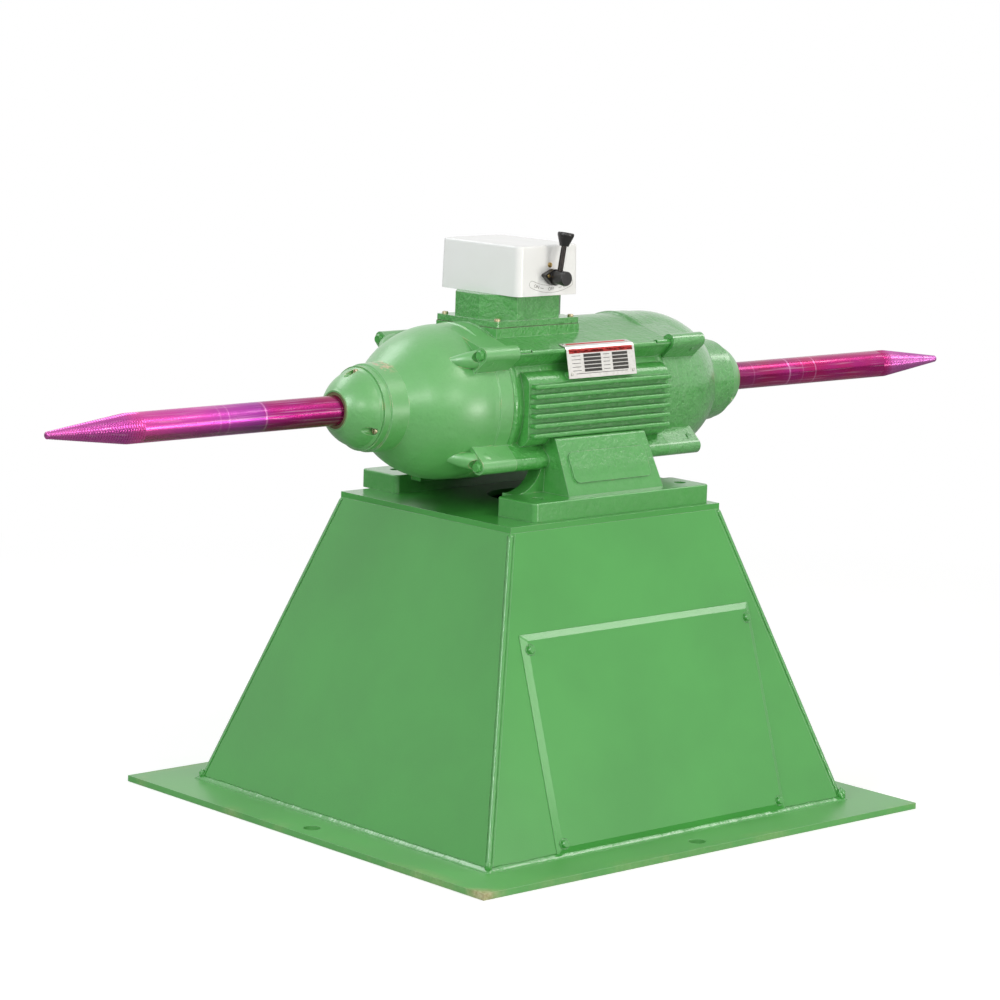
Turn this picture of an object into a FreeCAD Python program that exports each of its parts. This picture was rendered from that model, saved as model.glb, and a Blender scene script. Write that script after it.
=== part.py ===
import FreeCAD, Part
import math
import os
from FreeCAD import Placement, Rotation, Vector

# Pedestal buffing machine: an electric motor with a tapered spindle at each end, on a welded
# steel pedestal with a bolted access panel. Millimetres, +Z up, X along the spindle. The origin
# is on the floor, under the middle of the spindle and the middle of the base plate's depth.
# The operator stands on the -Y side, where the access panel and the switch lever are.

# Pedestal
BASE_LENGTH = 806.0
BASE_WIDTH = 756.0
BASE_THICKNESS = 8.5
ANCHOR_HOLE_D = 23.5
ANCHOR_EDGE_DISTANCE = 28.5
PEDESTAL_X = -26.0
PEDESTAL_HEIGHT = 423.0
SKIRT_LENGTH = 662.0
SKIRT_WIDTH = 609.0
TOP_LENGTH = 387.0
TOP_WIDTH = 352.0
TOP_THICKNESS = 8.0
WALL_THICKNESS = 8.0
CABLE_HOLE_D = 120.0
CABLE_HOLE_X = -12.0

# Access panel on the front wall, placed by distances on that sloping face
PANEL_SIDE_MARGIN = 23.5
PANEL_HEIGHT = 290.0
PANEL_THICKNESS = 5.0
PANEL_BEVEL = 9.0
PANEL_RIM = 0.8
PANEL_CENTRE_X = 2.5
PANEL_BOTTOM = 3.0
PANEL_BOLT_INSET_X = 12.0
PANEL_BOLT_INSET_TOP = 21.0
PANEL_BOLT_INSET_BOTTOM = 13.0
WINDOW_MARGIN = 32.0
PANEL_BOLT_D = 6.0
PANEL_BOLT_HEAD_AF = 10.0
PANEL_BOLT_HEAD = 4.2
PANEL_WASHER_D = 14.5
PANEL_WASHER = 1.5
WELD_NUT = 6.0
WELD_NUT_AF = 11.0

# Motor frame, about the spindle axis
SHAFT_HEIGHT = 142.0
MOTOR_Y = 15.0
FRAME_HALF = 143.0
FRAME_R = 104.0
FRAME_BORE_R = 92.0
END_BEAD_R = 107.0
END_BEAD_WIDTH = 12.0
SHOULDER_NOSE_Y = 109.0
SHOULDER_NOSE_Z = 73.0
SHOULDER_CROWN_Y = 36.0
SHOULDER_CROWN_Z = 97.5
SHOULDER_DROP = 13.0
RIB_COUNT = 6
RIB_PITCH = 13.3
RIB_THICKNESS = 6.4
RIB_TOP_Z = 29.0
RIB_FACE_Y = 125.0
RIB_PAD_Y = 114.0
RIB_ROOT_Y = 94.0
RIB_CENTRE_X = 6.0
RIB_HALF_LENGTH = 127.0
RIB_PAD_HALF_LENGTH = 129.5

# Motor feet
FOOT_HALF_LENGTH = 163.0
FOOT_X = -5.0
FOOT_INNER_Y = 104.0
FOOT_OUTER_Y = 180.0
FOOT_HEIGHT = 25.5
FOOT_CORNER_R = 7.0
FOOT_HOLE_D = 17.0
FOOT_HOLE_X = 133.0
FOOT_HOLE_Y = 147.0
WEB_TOP_Z = -43.0
WEB_TOP_Y = 125.0
WEB_ROOT_Y = 60.0
WEB_ROOT_TOP_Z = -30.0
WEB_ROOT_LOW_Z = -86.0
WEB_ARCH = 19.0
WEB_FOOT_Y = 162.0
WEB_TOP_HALF = 82.0
WEB_FOOT_HALF = 88.0
GUSSET_END_X = 141.0
GUSSET_TOP_Z = -72.0
GUSSET_OUTER_Y = 108.0
GUSSET_THICKNESS = 23.0
WEB_PAD_LENGTH = 142.0
WEB_PAD_HEIGHT = 44.0
WEB_PAD_PROUD = 1.2

# End bells and the bolts through their ears
BOLT_CIRCLE_Y = 104.8
BOLT_CIRCLE_Z = 74.7
EAR_R = 10.5
EAR_END_X = 203.0
FAIRING_END_X = 230.0
FAIRING_TIP_R = 92.5
FAIRING_SPREAD = 8.5
SPOT_FACE_DEPTH = 30.0
SPOT_FACE_R = 10.2
BELL_RIM_R = 106.0
BELL_RIM_WIDTH = 24.0
BELL_R = 104.5
BELL_WALL = 10.5
SPIGOT_LENGTH = 6.0
HOUSING_R = 60.0
HOUSING_START_X = 287.0
HOUSING_STEP_X = 315.0
HOUSING_FACE_X = 326.0
HOUSING_RING_R = 56.5
BELL_BOLT_D = 8.0
BELL_BOLT_HEAD_AF = 13.0
BELL_BOLT_HEAD = 5.3
BELL_BOLT_LENGTH = 85.0
LOWER_LUG_X = 84.0

# Bearings: 40 mm bore, 90 mm outside, 23 mm wide, as the shaft and housing need
BEARING_BORE_R = 20.0
BEARING_R = 45.0
BEARING_WIDTH = 23.0
BEARING_X = 296.0
BALL_R = 7.3
BALL_COUNT = 8
BALL_PITCH_R = 32.5
RACE_SHOULDER = 4.8
CAGE_THICKNESS = 3.0
CAGE_RAIL = 1.6
COVER_FACE_X = 366.0
COVER_R = 54.5
COVER_BORE_R = 24.5
COVER_HUB_R = 28.0
COVER_WALL_R = 21.5
COVER_SCREW_R = 48.5
COVER_SCREW_D = 5.0
COVER_SCREW_LENGTH = 44.0
INNER_CAP = 6.0
SEAL_WIDTH = 11.0
PRELOAD_WASHER = 1.4

# Spindle and rotor
SPINDLE_R = 19.9
SEAT_END_X = 367.5
RELIEF_R = 19.3
RELIEF_WIDTH = 2.0
SPINDLE_HALF = 822.0
TAPER_START_X = 703.0
TIP_R = 4.7
SHAFT_BODY_R = 24.0
CORE_SEAT_R = 26.0
CORE_HALF = 70.0
ROTOR_R = 57.3
STATOR_BORE_R = 58.3
SLOT_COUNT = 24
SLOT_DEPTH = 20.0
SLOT_WIDTH = 7.0
WINDING_REACH = 30.0
END_RING = 10.0
END_RING_BORE_R = 38.0
FAN_BLADES = 8
FAN_BLADE_REACH = 14.0
KEY_WIDTH = 12.0
KEY_HEIGHT = 8.0

# Terminal box on top of the frame
BOX_X = -64.0
FLANGE_LENGTH = 151.0
FLANGE_WIDTH = 124.0
FLANGE_THICKNESS = 8.0
FLANGE_TOP_Z = 111.5
GASKET = 1.0
TOWER_CORNER = 36.5
TOWER_HEIGHT = 34.0
TOWER_WALL = 6.0
TOWER_ROOF = 5.0
TOWER_WIRE_HOLE_R = 22.0
LEAD_HOLE_R = 18.0
LEAD_HOLE_X = -112.0
FLANGE_SCREW_INSET = 8.5
FLANGE_SCREW_D = 5.0
FLANGE_SCREW_HEAD_R = 4.2
FLANGE_SCREW_HEAD = 3.2
BLOCK_LENGTH = 62.0
BLOCK_WIDTH = 44.0
BLOCK_HEIGHT = 16.0
BLOCK_OFFSET_X = 20.0
STUD_COUNT = 3
STUD_PITCH = 20.0
STUD_R = 2.5

# Switch
SWITCH_LENGTH = 112.0
SWITCH_WIDTH = 160.0
SWITCH_HEIGHT = 68.0
SWITCH_DRAFT = 1.2
SWITCH_WALL = 2.5
SWITCH_CORNER_R = 9.0
SWITCH_EDGE_R = 3.0
SWITCH_BASE = 3.0
BASE_SCREW_SPREAD = 38.0
DRUM_X = 3.0
DRUM_Z = 25.5
DRUM_R = 15.0
DRUM_CORE_R = 10.0
DRUM_SPINDLE_R = 5.0
CONTACT_BLOCK_LENGTH = 60.0
CONTACT_BLOCK_DEPTH = 66.0
CONTACT_BLOCK_HEIGHT = 46.0
CONTACT_COUNT = 3
HUB_R = 9.3
HUB_LENGTH = 26.0
HUB_CAP_R = 9.9
HUB_CAP = 7.0
POINTER_R = 11.0
POINTER_REACH = 19.0
POINTER_THICKNESS = 11.0
POINTER_STAND_OFF = 2.4
POINTER_NECK_R = 7.0
LEVER_TILT = 10.0
LEVER_ROD_R = 3.7
LEVER_KNOB_START = 43.0
LEVER_KNOB_END = 61.5
LEVER_KNOB_TOP_R = 11.2
LEVER_KNOB_FOOT_R = 5.9
COVER_SCREW_OFFSET_X = -1.5
COVER_SCREW_OFFSET_Z = 16.0
COVER_SCREW_SHANK_D = 4.0
COVER_SCREW_HEAD_R = 3.4

# Rating plate, bent over the frame's shoulder
PLATE_LENGTH = 126.0
PLATE_CENTRE_X = 7.0
PLATE_THICKNESS = 1.0
PLATE_HEADER = 14.0
PLATE_DROP = 37.0
PLATE_KICK = 8.0
PLATE_NOSE_GAP = 0.9
PLATE_RIVET_INSET = 6.0
RIVET_R = 1.3
RIVET_HEAD_R = 2.4
RIVET_HEAD = 1.0
RIVET_LENGTH = 6.0
STUB_R = 4.5
STUB_LENGTH = 25.0

# Clearances
RUNNING = 0.1
LOCATING = 0.02
THREAD = 0.1
BOLT_HOLE = 0.5
SOFT_GAP = 0.3

# Worked out from the sizes above
AXIS_Z = PEDESTAL_HEIGHT + SHAFT_HEIGHT
FRONT_SLOPE = math.atan2((SKIRT_WIDTH - TOP_WIDTH) / 2, PEDESTAL_HEIGHT - TOP_THICKNESS - BASE_THICKNESS)
FRONT_FACE = Placement(Vector(PEDESTAL_X, -SKIRT_WIDTH / 2, BASE_THICKNESS),
                       Rotation(Vector(1, 0, 0), 90 - math.degrees(FRONT_SLOPE)))
WALL_SLANT = math.hypot((SKIRT_WIDTH - TOP_WIDTH) / 2, PEDESTAL_HEIGHT - TOP_THICKNESS - BASE_THICKNESS)
PANEL_TOP_SHARE = (PANEL_BOTTOM + PANEL_HEIGHT) / WALL_SLANT
PANEL_WIDTH = SKIRT_LENGTH + (TOP_LENGTH - SKIRT_LENGTH) * PANEL_TOP_SHARE - 2 * PANEL_SIDE_MARGIN
FOOT_TOP_Z = FOOT_HEIGHT - SHAFT_HEIGHT
FRAME_PAD_Z = FLANGE_TOP_Z - FLANGE_THICKNESS - GASKET
TOWER_TOP_Z = FLANGE_TOP_Z + TOWER_HEIGHT
SWITCH_FRONT_Y = -SWITCH_WIDTH / 2
DRUM_CENTRE_X = BOX_X + DRUM_X
DRUM_CENTRE_Z = TOWER_TOP_Z + DRUM_Z
ROOF_RISE = (SHOULDER_CROWN_Z - SHOULDER_NOSE_Z - 4) / (SHOULDER_NOSE_Y - 5 - SHOULDER_CROWN_Y)
BEARING_END_X = BEARING_X + BEARING_WIDTH


def outline(start, steps, place):
    """A closed wire: each step is a point to draw a line to, or a (through, to) pair for an arc."""
    edges = []
    here = start
    for step in steps + [start]:
        if isinstance(step[0], tuple):
            through, there = step
            edges.append(Part.Arc(place(*here), place(*through), place(*there)).toShape())
        else:
            there = step
            if math.dist(here, there) > 1e-6:
                edges.append(Part.makeLine(place(*here), place(*there)))
        here = there
    return Part.Wire(edges)


def turned(start, *steps):
    """A solid of revolution about the spindle axis, from an (x, radius) outline."""
    face = Part.Face(outline(start, list(steps), lambda x, r: Vector(x, 0, r)))
    return face.revolve(Vector(0, 0, 0), Vector(1, 0, 0), 360)


def along_x(x0, x1, start, *steps):
    """A (y, z) outline carried from x0 to x1."""
    face = Part.Face(outline(start, list(steps), lambda y, z: Vector(x0, y, z)))
    return face.extrude(Vector(x1 - x0, 0, 0))


def along_y(y0, y1, start, *steps):
    """An (x, z) outline carried from y0 to y1."""
    face = Part.Face(outline(start, list(steps), lambda x, z: Vector(x, y0, z)))
    return face.extrude(Vector(0, y1 - y0, 0))


def block(x0, x1, y0, y1, z0, z1):
    return Part.makeBox(x1 - x0, y1 - y0, z1 - z0, Vector(x0, y0, z0))


def rod_x(radius, x0, x1, y=0.0, z=0.0):
    return Part.makeCylinder(radius, x1 - x0, Vector(x0, y, z), Vector(1, 0, 0))


def rod_y(radius, y0, y1, x=0.0, z=0.0):
    return Part.makeCylinder(radius, y1 - y0, Vector(x, y0, z), Vector(0, 1, 0))


def rod_z(radius, z0, z1, x=0.0, y=0.0):
    return Part.makeCylinder(radius, z1 - z0, Vector(x, y, z0), Vector(0, 0, 1))


def hexagon(across_flats, height):
    """A hexagonal prism standing on the local XY plane."""
    corner = across_flats / math.sqrt(3)
    points = [Vector(corner * math.cos(k * math.pi / 3), corner * math.sin(k * math.pi / 3), 0) for k in range(7)]
    return Part.Face(Part.makePolygon(points)).extrude(Vector(0, 0, height))


def bolt(diameter, across_flats, head, length):
    """A hexagon-head bolt with its seat on the local XY plane and its shank along -Z."""
    head_solid = hexagon(across_flats, head)
    crown = Part.makeCone(across_flats * 0.66, across_flats * 0.42, head, Vector(0, 0, 0))
    shank = Part.makeCylinder(diameter / 2, length, Vector(0, 0, -length))
    return head_solid.common(crown).fuse(shank).removeSplitter()


def screw(diameter, head_radius, head, length):
    """A slotted pan-head screw with its seat on the local XY plane and its shank along -Z."""
    dome = Part.makeCylinder(head_radius, head)
    dome = dome.makeFillet(head * 0.45, [edge for edge in dome.Edges if edge.BoundBox.ZMin > head * 0.9])
    slot = Part.makeBox(head_radius * 3, head_radius * 0.3, head * 0.45,
                        Vector(-head_radius * 1.5, -head_radius * 0.15, head * 0.55))
    shank = Part.makeCylinder(diameter / 2, length, Vector(0, 0, -length))
    return dome.cut(slot).fuse(shank).removeSplitter()


def moved(shape, x=0.0, y=0.0, z=0.0):
    copy = shape.copy()
    copy.translate(Vector(x, y, z))
    return copy


def pointed(shape, position, direction):
    """Turn a shape that looks along +Z to look along direction, at position."""
    copy = shape.copy()
    copy.Placement = Placement(position, Rotation(Vector(0, 0, 1), direction)).multiply(copy.Placement)
    return copy


def other_end(shape):
    return shape.mirror(Vector(0, 0, 0), Vector(1, 0, 0))


def other_side(shape):
    return shape.mirror(Vector(0, 0, 0), Vector(0, 1, 0))


def rounded_rectangle(length, width, radius, z, x=0.0, y=0.0):
    """A wire on a level plane, centred at x, y."""
    a, b, c = length / 2, width / 2, radius * (1 - math.sqrt(0.5))
    start = (x - a + radius, y - b)
    steps = [(x + a - radius, y - b),
             ((x + a - c, y - b + c), (x + a, y - b + radius)),
             (x + a, y + b - radius),
             ((x + a - c, y + b - c), (x + a - radius, y + b)),
             (x - a + radius, y + b),
             ((x - a + c, y + b - c), (x - a, y + b - radius)),
             (x - a, y - b + radius),
             ((x - a + c, y - b + c), start)]
    return outline(start, steps, lambda u, v: Vector(u, v, z))


def rounded_plate(length, width, radius, z0, z1, x=0.0, y=0.0):
    return Part.Face(rounded_rectangle(length, width, radius, z0, x, y)).extrude(Vector(0, 0, z1 - z0))


def save(name, shape, on_motor=True):
    if on_motor:
        shape = moved(shape, 0, MOTOR_Y, AXIS_Z)
    if not shape.isValid():
        raise ValueError(name + " is not a valid shape")
    print(name, len(shape.Solids), "solids", round(shape.Volume / 1000, 1), "cm3")
    shape.exportStep("parts/" + name + ".step")


# Pedestal: sloping walls welded between a base plate and a top plate

def frustum(skirt_length, skirt_width, top_length, top_width):
    """The tapering block between the base plate and the top plate, with flat faces."""
    rings = []
    heights = (BASE_THICKNESS, PEDESTAL_HEIGHT - TOP_THICKNESS)
    for length, width, z in zip((skirt_length, top_length), (skirt_width, top_width), heights):
        a, b = length / 2, width / 2
        corners = [(-a, -b), (a, -b), (a, b), (-a, b)]
        rings.append([Vector(PEDESTAL_X + x, y, z) for x, y in corners])
    low, high = rings
    outlines = [low, high] + [[low[k - 1], low[k], high[k], high[k - 1]] for k in range(4)]
    faces = [Part.Face(Part.makePolygon(outline + outline[:1])) for outline in outlines]
    return Part.Solid(Part.Shell(faces))


def pedestal_walls():
    """Left, right, front and back walls; the side walls run past the ends of the other two."""
    rise = PEDESTAL_HEIGHT - TOP_THICKNESS - BASE_THICKNESS
    side = 2 * WALL_THICKNESS * math.hypot(1, (SKIRT_LENGTH - TOP_LENGTH) / 2 / rise)
    front = 2 * WALL_THICKNESS * math.hypot(1, (SKIRT_WIDTH - TOP_WIDTH) / 2 / rise)
    outer = frustum(SKIRT_LENGTH, SKIRT_WIDTH, TOP_LENGTH, TOP_WIDTH)
    between_sides = frustum(SKIRT_LENGTH - side, 2 * SKIRT_WIDTH, TOP_LENGTH - side, 2 * SKIRT_WIDTH)
    between_fronts = frustum(2 * SKIRT_LENGTH, SKIRT_WIDTH - front, 2 * SKIRT_LENGTH, TOP_WIDTH - front)
    sides = sorted(outer.cut(between_sides).Solids, key=lambda s: s.CenterOfMass.x)
    fronts = sorted(outer.common(between_sides).cut(between_fronts).Solids, key=lambda s: s.CenterOfMass.y)
    return sides[0], sides[1], fronts[0], fronts[1]


def on_front_wall(shape):
    """Place a shape drawn with its XY plane as the front wall's outer face."""
    copy = shape.copy()
    copy.Placement = FRONT_FACE.multiply(copy.Placement)
    return copy


def panel_bolt_places():
    low = PANEL_BOTTOM + PANEL_BOLT_INSET_BOTTOM
    high = PANEL_BOTTOM + PANEL_HEIGHT - PANEL_BOLT_INSET_TOP
    reach = PANEL_WIDTH / 2 - PANEL_BOLT_INSET_X
    return [(PANEL_CENTRE_X + side * reach, height) for side in (-1, 1) for height in (low, high)]


def base_plate():
    x0, y0 = PEDESTAL_X - BASE_LENGTH / 2, -BASE_WIDTH / 2
    plate = block(x0, x0 + BASE_LENGTH, y0, y0 + BASE_WIDTH, 0, BASE_THICKNESS)
    plate = plate.cut(rod_z(CABLE_HOLE_D / 2, 0, BASE_THICKNESS, CABLE_HOLE_X, MOTOR_Y))
    for x, y in anchor_places():
        plate = plate.cut(rod_z(ANCHOR_HOLE_D / 2, 0, BASE_THICKNESS, x, y))
    return plate


def anchor_places():
    a = BASE_LENGTH / 2 - ANCHOR_EDGE_DISTANCE
    b = BASE_WIDTH / 2 - ANCHOR_EDGE_DISTANCE
    return [(PEDESTAL_X - a, 0), (PEDESTAL_X + a, 0), (PEDESTAL_X, -b), (PEDESTAL_X, b)]


def foot_hole_places():
    return [(sx * FOOT_HOLE_X, sy * FOOT_HOLE_Y) for sx in (-1, 1) for sy in (-1, 1)]


def top_plate():
    z0 = PEDESTAL_HEIGHT - TOP_THICKNESS
    plate = block(PEDESTAL_X - TOP_LENGTH / 2, PEDESTAL_X + TOP_LENGTH / 2,
                  -TOP_WIDTH / 2, TOP_WIDTH / 2, z0, PEDESTAL_HEIGHT)
    plate = plate.cut(rod_z(CABLE_HOLE_D / 2, z0, PEDESTAL_HEIGHT, CABLE_HOLE_X, MOTOR_Y))
    for x, y in foot_hole_places():
        plate = plate.cut(rod_z(FOOT_HOLE_D / 2, z0, PEDESTAL_HEIGHT, x, y + MOTOR_Y))
    return plate


def front_wall(wall):
    window = rounded_plate(PANEL_WIDTH - 2 * WINDOW_MARGIN, PANEL_HEIGHT - 2 * WINDOW_MARGIN, 15,
                           -3 * WALL_THICKNESS, WALL_THICKNESS,
                           PANEL_CENTRE_X, PANEL_BOTTOM + PANEL_HEIGHT / 2)
    wall = wall.cut(on_front_wall(window))
    for x, y in panel_bolt_places():
        hole = rod_z(PANEL_BOLT_D / 2 + BOLT_HOLE, -3 * WALL_THICKNESS, WALL_THICKNESS, x, y)
        wall = wall.cut(on_front_wall(hole))
    return wall


def access_panel():
    centre_y = PANEL_BOTTOM + PANEL_HEIGHT / 2
    rim = rounded_rectangle(PANEL_WIDTH, PANEL_HEIGHT, 2, PANEL_RIM, PANEL_CENTRE_X, centre_y)
    face = rounded_rectangle(PANEL_WIDTH - 2 * PANEL_BEVEL, PANEL_HEIGHT - 2 * PANEL_BEVEL, 2,
                             PANEL_THICKNESS, PANEL_CENTRE_X, centre_y)
    panel = rounded_plate(PANEL_WIDTH, PANEL_HEIGHT, 2, 0, PANEL_RIM, PANEL_CENTRE_X, centre_y)
    panel = panel.fuse(Part.makeLoft([rim, face], True, True))
    for x, y in panel_bolt_places():
        panel = panel.cut(rod_z(PANEL_BOLT_D / 2 + BOLT_HOLE, 0, PANEL_THICKNESS, x, y))
        panel = panel.cut(rod_z(PANEL_WASHER_D / 2 + SOFT_GAP, PANEL_THICKNESS - PANEL_WASHER,
                                PANEL_THICKNESS, x, y))
    return on_front_wall(panel.removeSplitter())


def panel_fasteners():
    """Washers set into the panel face, the bolts on them and the weld nuts behind the wall."""
    bolts, washers, nuts = [], [], []
    seat = PANEL_THICKNESS
    reach = seat + WALL_THICKNESS + WELD_NUT
    for x, y in panel_bolt_places():
        bolts.append(moved(bolt(PANEL_BOLT_D, PANEL_BOLT_HEAD_AF, PANEL_BOLT_HEAD, reach), x, y, seat))
        washer = rod_z(PANEL_WASHER_D / 2, seat - PANEL_WASHER, seat, x, y)
        washers.append(washer.cut(rod_z(PANEL_BOLT_D / 2 + BOLT_HOLE, 0, seat, x, y)))
        nut = moved(hexagon(WELD_NUT_AF, WELD_NUT), x, y, -WALL_THICKNESS - WELD_NUT)
        nuts.append(nut.cut(rod_z(PANEL_BOLT_D / 2 + THREAD, -3 * WALL_THICKNESS, 0, x, y)))
    return [on_front_wall(Part.makeCompound(group)) for group in (bolts, washers, nuts)]


# Motor frame: the barrel casting with its shoulders, ribs, terminal pad, feet and webs

def shoulder(x0, x1):
    """The sloping roof from the crown to a nose on the bolt line, undercut below."""
    inner = FRAME_BORE_R + 4
    return along_x(x0, x1, (-SHOULDER_CROWN_Y, SHOULDER_CROWN_Z),
                   (-SHOULDER_NOSE_Y + 5, SHOULDER_NOSE_Z + 4),
                   ((-SHOULDER_NOSE_Y, SHOULDER_NOSE_Z), (-SHOULDER_NOSE_Y + 4, SHOULDER_NOSE_Z - 4)),
                   (-BOLT_CIRCLE_Y + 8, SHOULDER_NOSE_Z - SHOULDER_DROP),
                   (-inner * math.cos(math.radians(30)), inner * math.sin(math.radians(30))),
                   (-inner * math.cos(math.radians(67)), inner * math.sin(math.radians(67))))


def ear_spar(x0, x1, z_sign):
    """A round lug on the bolt line with a web back to the barrel."""
    y, z = BOLT_CIRCLE_Y, z_sign * BOLT_CIRCLE_Z
    lug = rod_x(EAR_R, x0, x1, -y, z)
    r = math.hypot(y, z)
    across = Vector(0, z / r * EAR_R, y / r * EAR_R)
    inward = Vector(0, y, -z) * (FRAME_R - 6 - r) * (-1 / r)
    root = Vector(x0, -y, z)
    corners = [root + across, root - across, root - across * 1.3 + inward, root + across * 1.3 + inward]
    web = Part.Face(Part.makePolygon(corners + [corners[0]])).extrude(Vector(x1 - x0, 0, 0))
    return lug.fuse(web)


def ribs():
    """Level cooling ribs on the frame's side, with rounded ends and noses."""
    group = []
    half = RIB_THICKNESS / 2
    for k in range(RIB_COUNT):
        z = RIB_TOP_Z - k * RIB_PITCH
        x0, x1 = RIB_CENTRE_X - RIB_HALF_LENGTH + half, RIB_CENTRE_X + RIB_HALF_LENGTH - half
        rib = along_y(-RIB_FACE_Y, -RIB_ROOT_Y, (x0, z - half), (x1, z - half), ((x1 + half, z), (x1, z + half)),
                      (x0, z + half), ((x0 - half, z), (x0, z - half)))
        nose = [edge for edge in rib.Edges if edge.BoundBox.YMax < -RIB_FACE_Y + 0.1]
        group.append(rib.makeFillet(half * 0.75, nose))
    return group


def rib_pad():
    """The flat-faced swell that the ribs stand on, rounded back into the barrel."""
    top, low = RIB_TOP_Z + 5, RIB_TOP_Z - (RIB_COUNT - 1) * RIB_PITCH - 5
    inner_top = math.sqrt(FRAME_R ** 2 - (top + 12) ** 2) - 1
    inner_low = math.sqrt(FRAME_R ** 2 - (low - 10) ** 2) - 1
    return along_x(RIB_CENTRE_X - RIB_PAD_HALF_LENGTH, RIB_CENTRE_X + RIB_PAD_HALF_LENGTH, (-inner_top, top + 12),
                   ((-RIB_PAD_Y + 4, top + 5), (-RIB_PAD_Y, top - 4)), (-RIB_PAD_Y, low + 4),
                   ((-RIB_PAD_Y + 3, low - 4), (-inner_low, low - 10)))


def foot():
    """One foot on the operator's side: pad, arched web, end gussets and a raised panel."""
    width = FOOT_OUTER_Y - FOOT_INNER_Y
    centre_y = -(FOOT_OUTER_Y + FOOT_INNER_Y) / 2
    pad = rounded_plate(2 * FOOT_HALF_LENGTH, width, FOOT_CORNER_R, -SHAFT_HEIGHT, FOOT_TOP_Z, FOOT_X, centre_y)
    top_edges = [edge for edge in pad.Edges if edge.BoundBox.ZMin > FOOT_TOP_Z - 0.1]
    pad = pad.makeFillet(2.0, top_edges)
    arch = ((-GUSSET_OUTER_Y + WEB_ARCH, FOOT_TOP_Z + WEB_ARCH), (-WEB_ROOT_Y, WEB_ROOT_LOW_Z))
    web = along_x(-WEB_FOOT_HALF, WEB_FOOT_HALF, (-WEB_ROOT_Y, WEB_ROOT_TOP_Z), (-WEB_TOP_Y + 3, WEB_TOP_Z + 1),
                  (-WEB_TOP_Y, WEB_TOP_Z - 2), (-WEB_FOOT_Y, FOOT_TOP_Z - 3), (-GUSSET_OUTER_Y, FOOT_TOP_Z - 3), arch)
    taper = along_y(-FOOT_OUTER_Y, 0, (-WEB_FOOT_HALF, FOOT_TOP_Z - 5), (WEB_FOOT_HALF, FOOT_TOP_Z - 5),
                    (WEB_TOP_HALF, WEB_TOP_Z + 12), (-WEB_TOP_HALF, WEB_TOP_Z + 12))
    body = pad.fuse(web.common(taper))
    for side in (-1, 1):
        gusset = along_y(-GUSSET_OUTER_Y, -GUSSET_OUTER_Y + GUSSET_THICKNESS,
                         (side * (WEB_TOP_HALF - 6), GUSSET_TOP_Z), (side * (WEB_FOOT_HALF + 3), GUSSET_TOP_Z),
                         ((side * (WEB_FOOT_HALF + 13), FOOT_TOP_Z + 17), (side * GUSSET_END_X, FOOT_TOP_Z)),
                         (side * GUSSET_END_X, FOOT_TOP_Z - 8), (side * (WEB_TOP_HALF - 6), FOOT_TOP_Z - 8))
        body = body.fuse(gusset)
    slope = math.degrees(math.atan2(WEB_FOOT_Y - WEB_TOP_Y, WEB_TOP_Z - FOOT_TOP_Z))
    panel = rounded_plate(WEB_PAD_LENGTH, WEB_PAD_HEIGHT, 9, -3, WEB_PAD_PROUD)
    panel.Placement = Placement(Vector(0, -(WEB_TOP_Y + WEB_FOOT_Y) / 2 - 1, (WEB_TOP_Z + FOOT_TOP_Z) / 2 - 1),
                                Rotation(Vector(1, 0, 0), 90 - slope))
    return body.fuse(panel)


def motor_frame():
    barrel = rod_x(FRAME_R, -FRAME_HALF, FRAME_HALF)
    bead = turned((FRAME_HALF - END_BEAD_WIDTH, FRAME_R - 5), (FRAME_HALF - END_BEAD_WIDTH, FRAME_R),
                  ((FRAME_HALF - END_BEAD_WIDTH / 2, END_BEAD_R), (FRAME_HALF, FRAME_R + 1)),
                  (FRAME_HALF, FRAME_R - 5))
    frame = barrel.fuse([bead, other_end(bead)])
    side = [shoulder(-FRAME_HALF, FRAME_HALF), rib_pad(), foot()] + ribs()
    side += [ear_spar(-FRAME_HALF, -LOWER_LUG_X, -1), ear_spar(LOWER_LUG_X, FRAME_HALF, -1)]
    frame = frame.fuse(side + [other_side(piece) for piece in side] + plate_stubs())
    pad = block(BOX_X - FLANGE_LENGTH / 2, BOX_X + FLANGE_LENGTH / 2,
                -FLANGE_WIDTH / 2, FLANGE_WIDTH / 2, FRAME_BORE_R * 0.78, FRAME_PAD_Z)
    above = block(BOX_X - FLANGE_LENGTH / 2, BOX_X + FLANGE_LENGTH / 2,
                  -FLANGE_WIDTH / 2, FLANGE_WIDTH / 2, FRAME_PAD_Z, FRAME_PAD_Z + 10)
    frame = frame.fuse(pad).cut(above).removeSplitter()
    holes = [rod_x(FRAME_BORE_R, -FRAME_HALF, FRAME_HALF),
             rod_z(LEAD_HOLE_R, 0, FRAME_PAD_Z, LEAD_HOLE_X, 0)]
    holes += rivet_holes()
    holes += [rod_z(FOOT_HOLE_D / 2, -SHAFT_HEIGHT, 0, x, y) for x, y in foot_hole_places()]
    holes += [rod_z(FLANGE_SCREW_D / 2 + THREAD, FRAME_PAD_Z - 12, FRAME_PAD_Z, x, y)
              for x, y in flange_screw_places()]
    depth = BELL_BOLT_LENGTH - (EAR_END_X - FRAME_HALF) + 3
    for y, z in bell_bolt_places():
        holes.append(rod_x(BELL_BOLT_D / 2 + THREAD, -FRAME_HALF, -FRAME_HALF + depth, y, z))
        holes.append(rod_x(BELL_BOLT_D / 2 + THREAD, FRAME_HALF - depth, FRAME_HALF, y, z))
    return frame.cut(holes)


def bell_bolt_places():
    return [(sy * BOLT_CIRCLE_Y, sz * BOLT_CIRCLE_Z) for sy in (-1, 1) for sz in (-1, 1)]


# End bells, bearings and covers, drawn for the +X end

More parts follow.
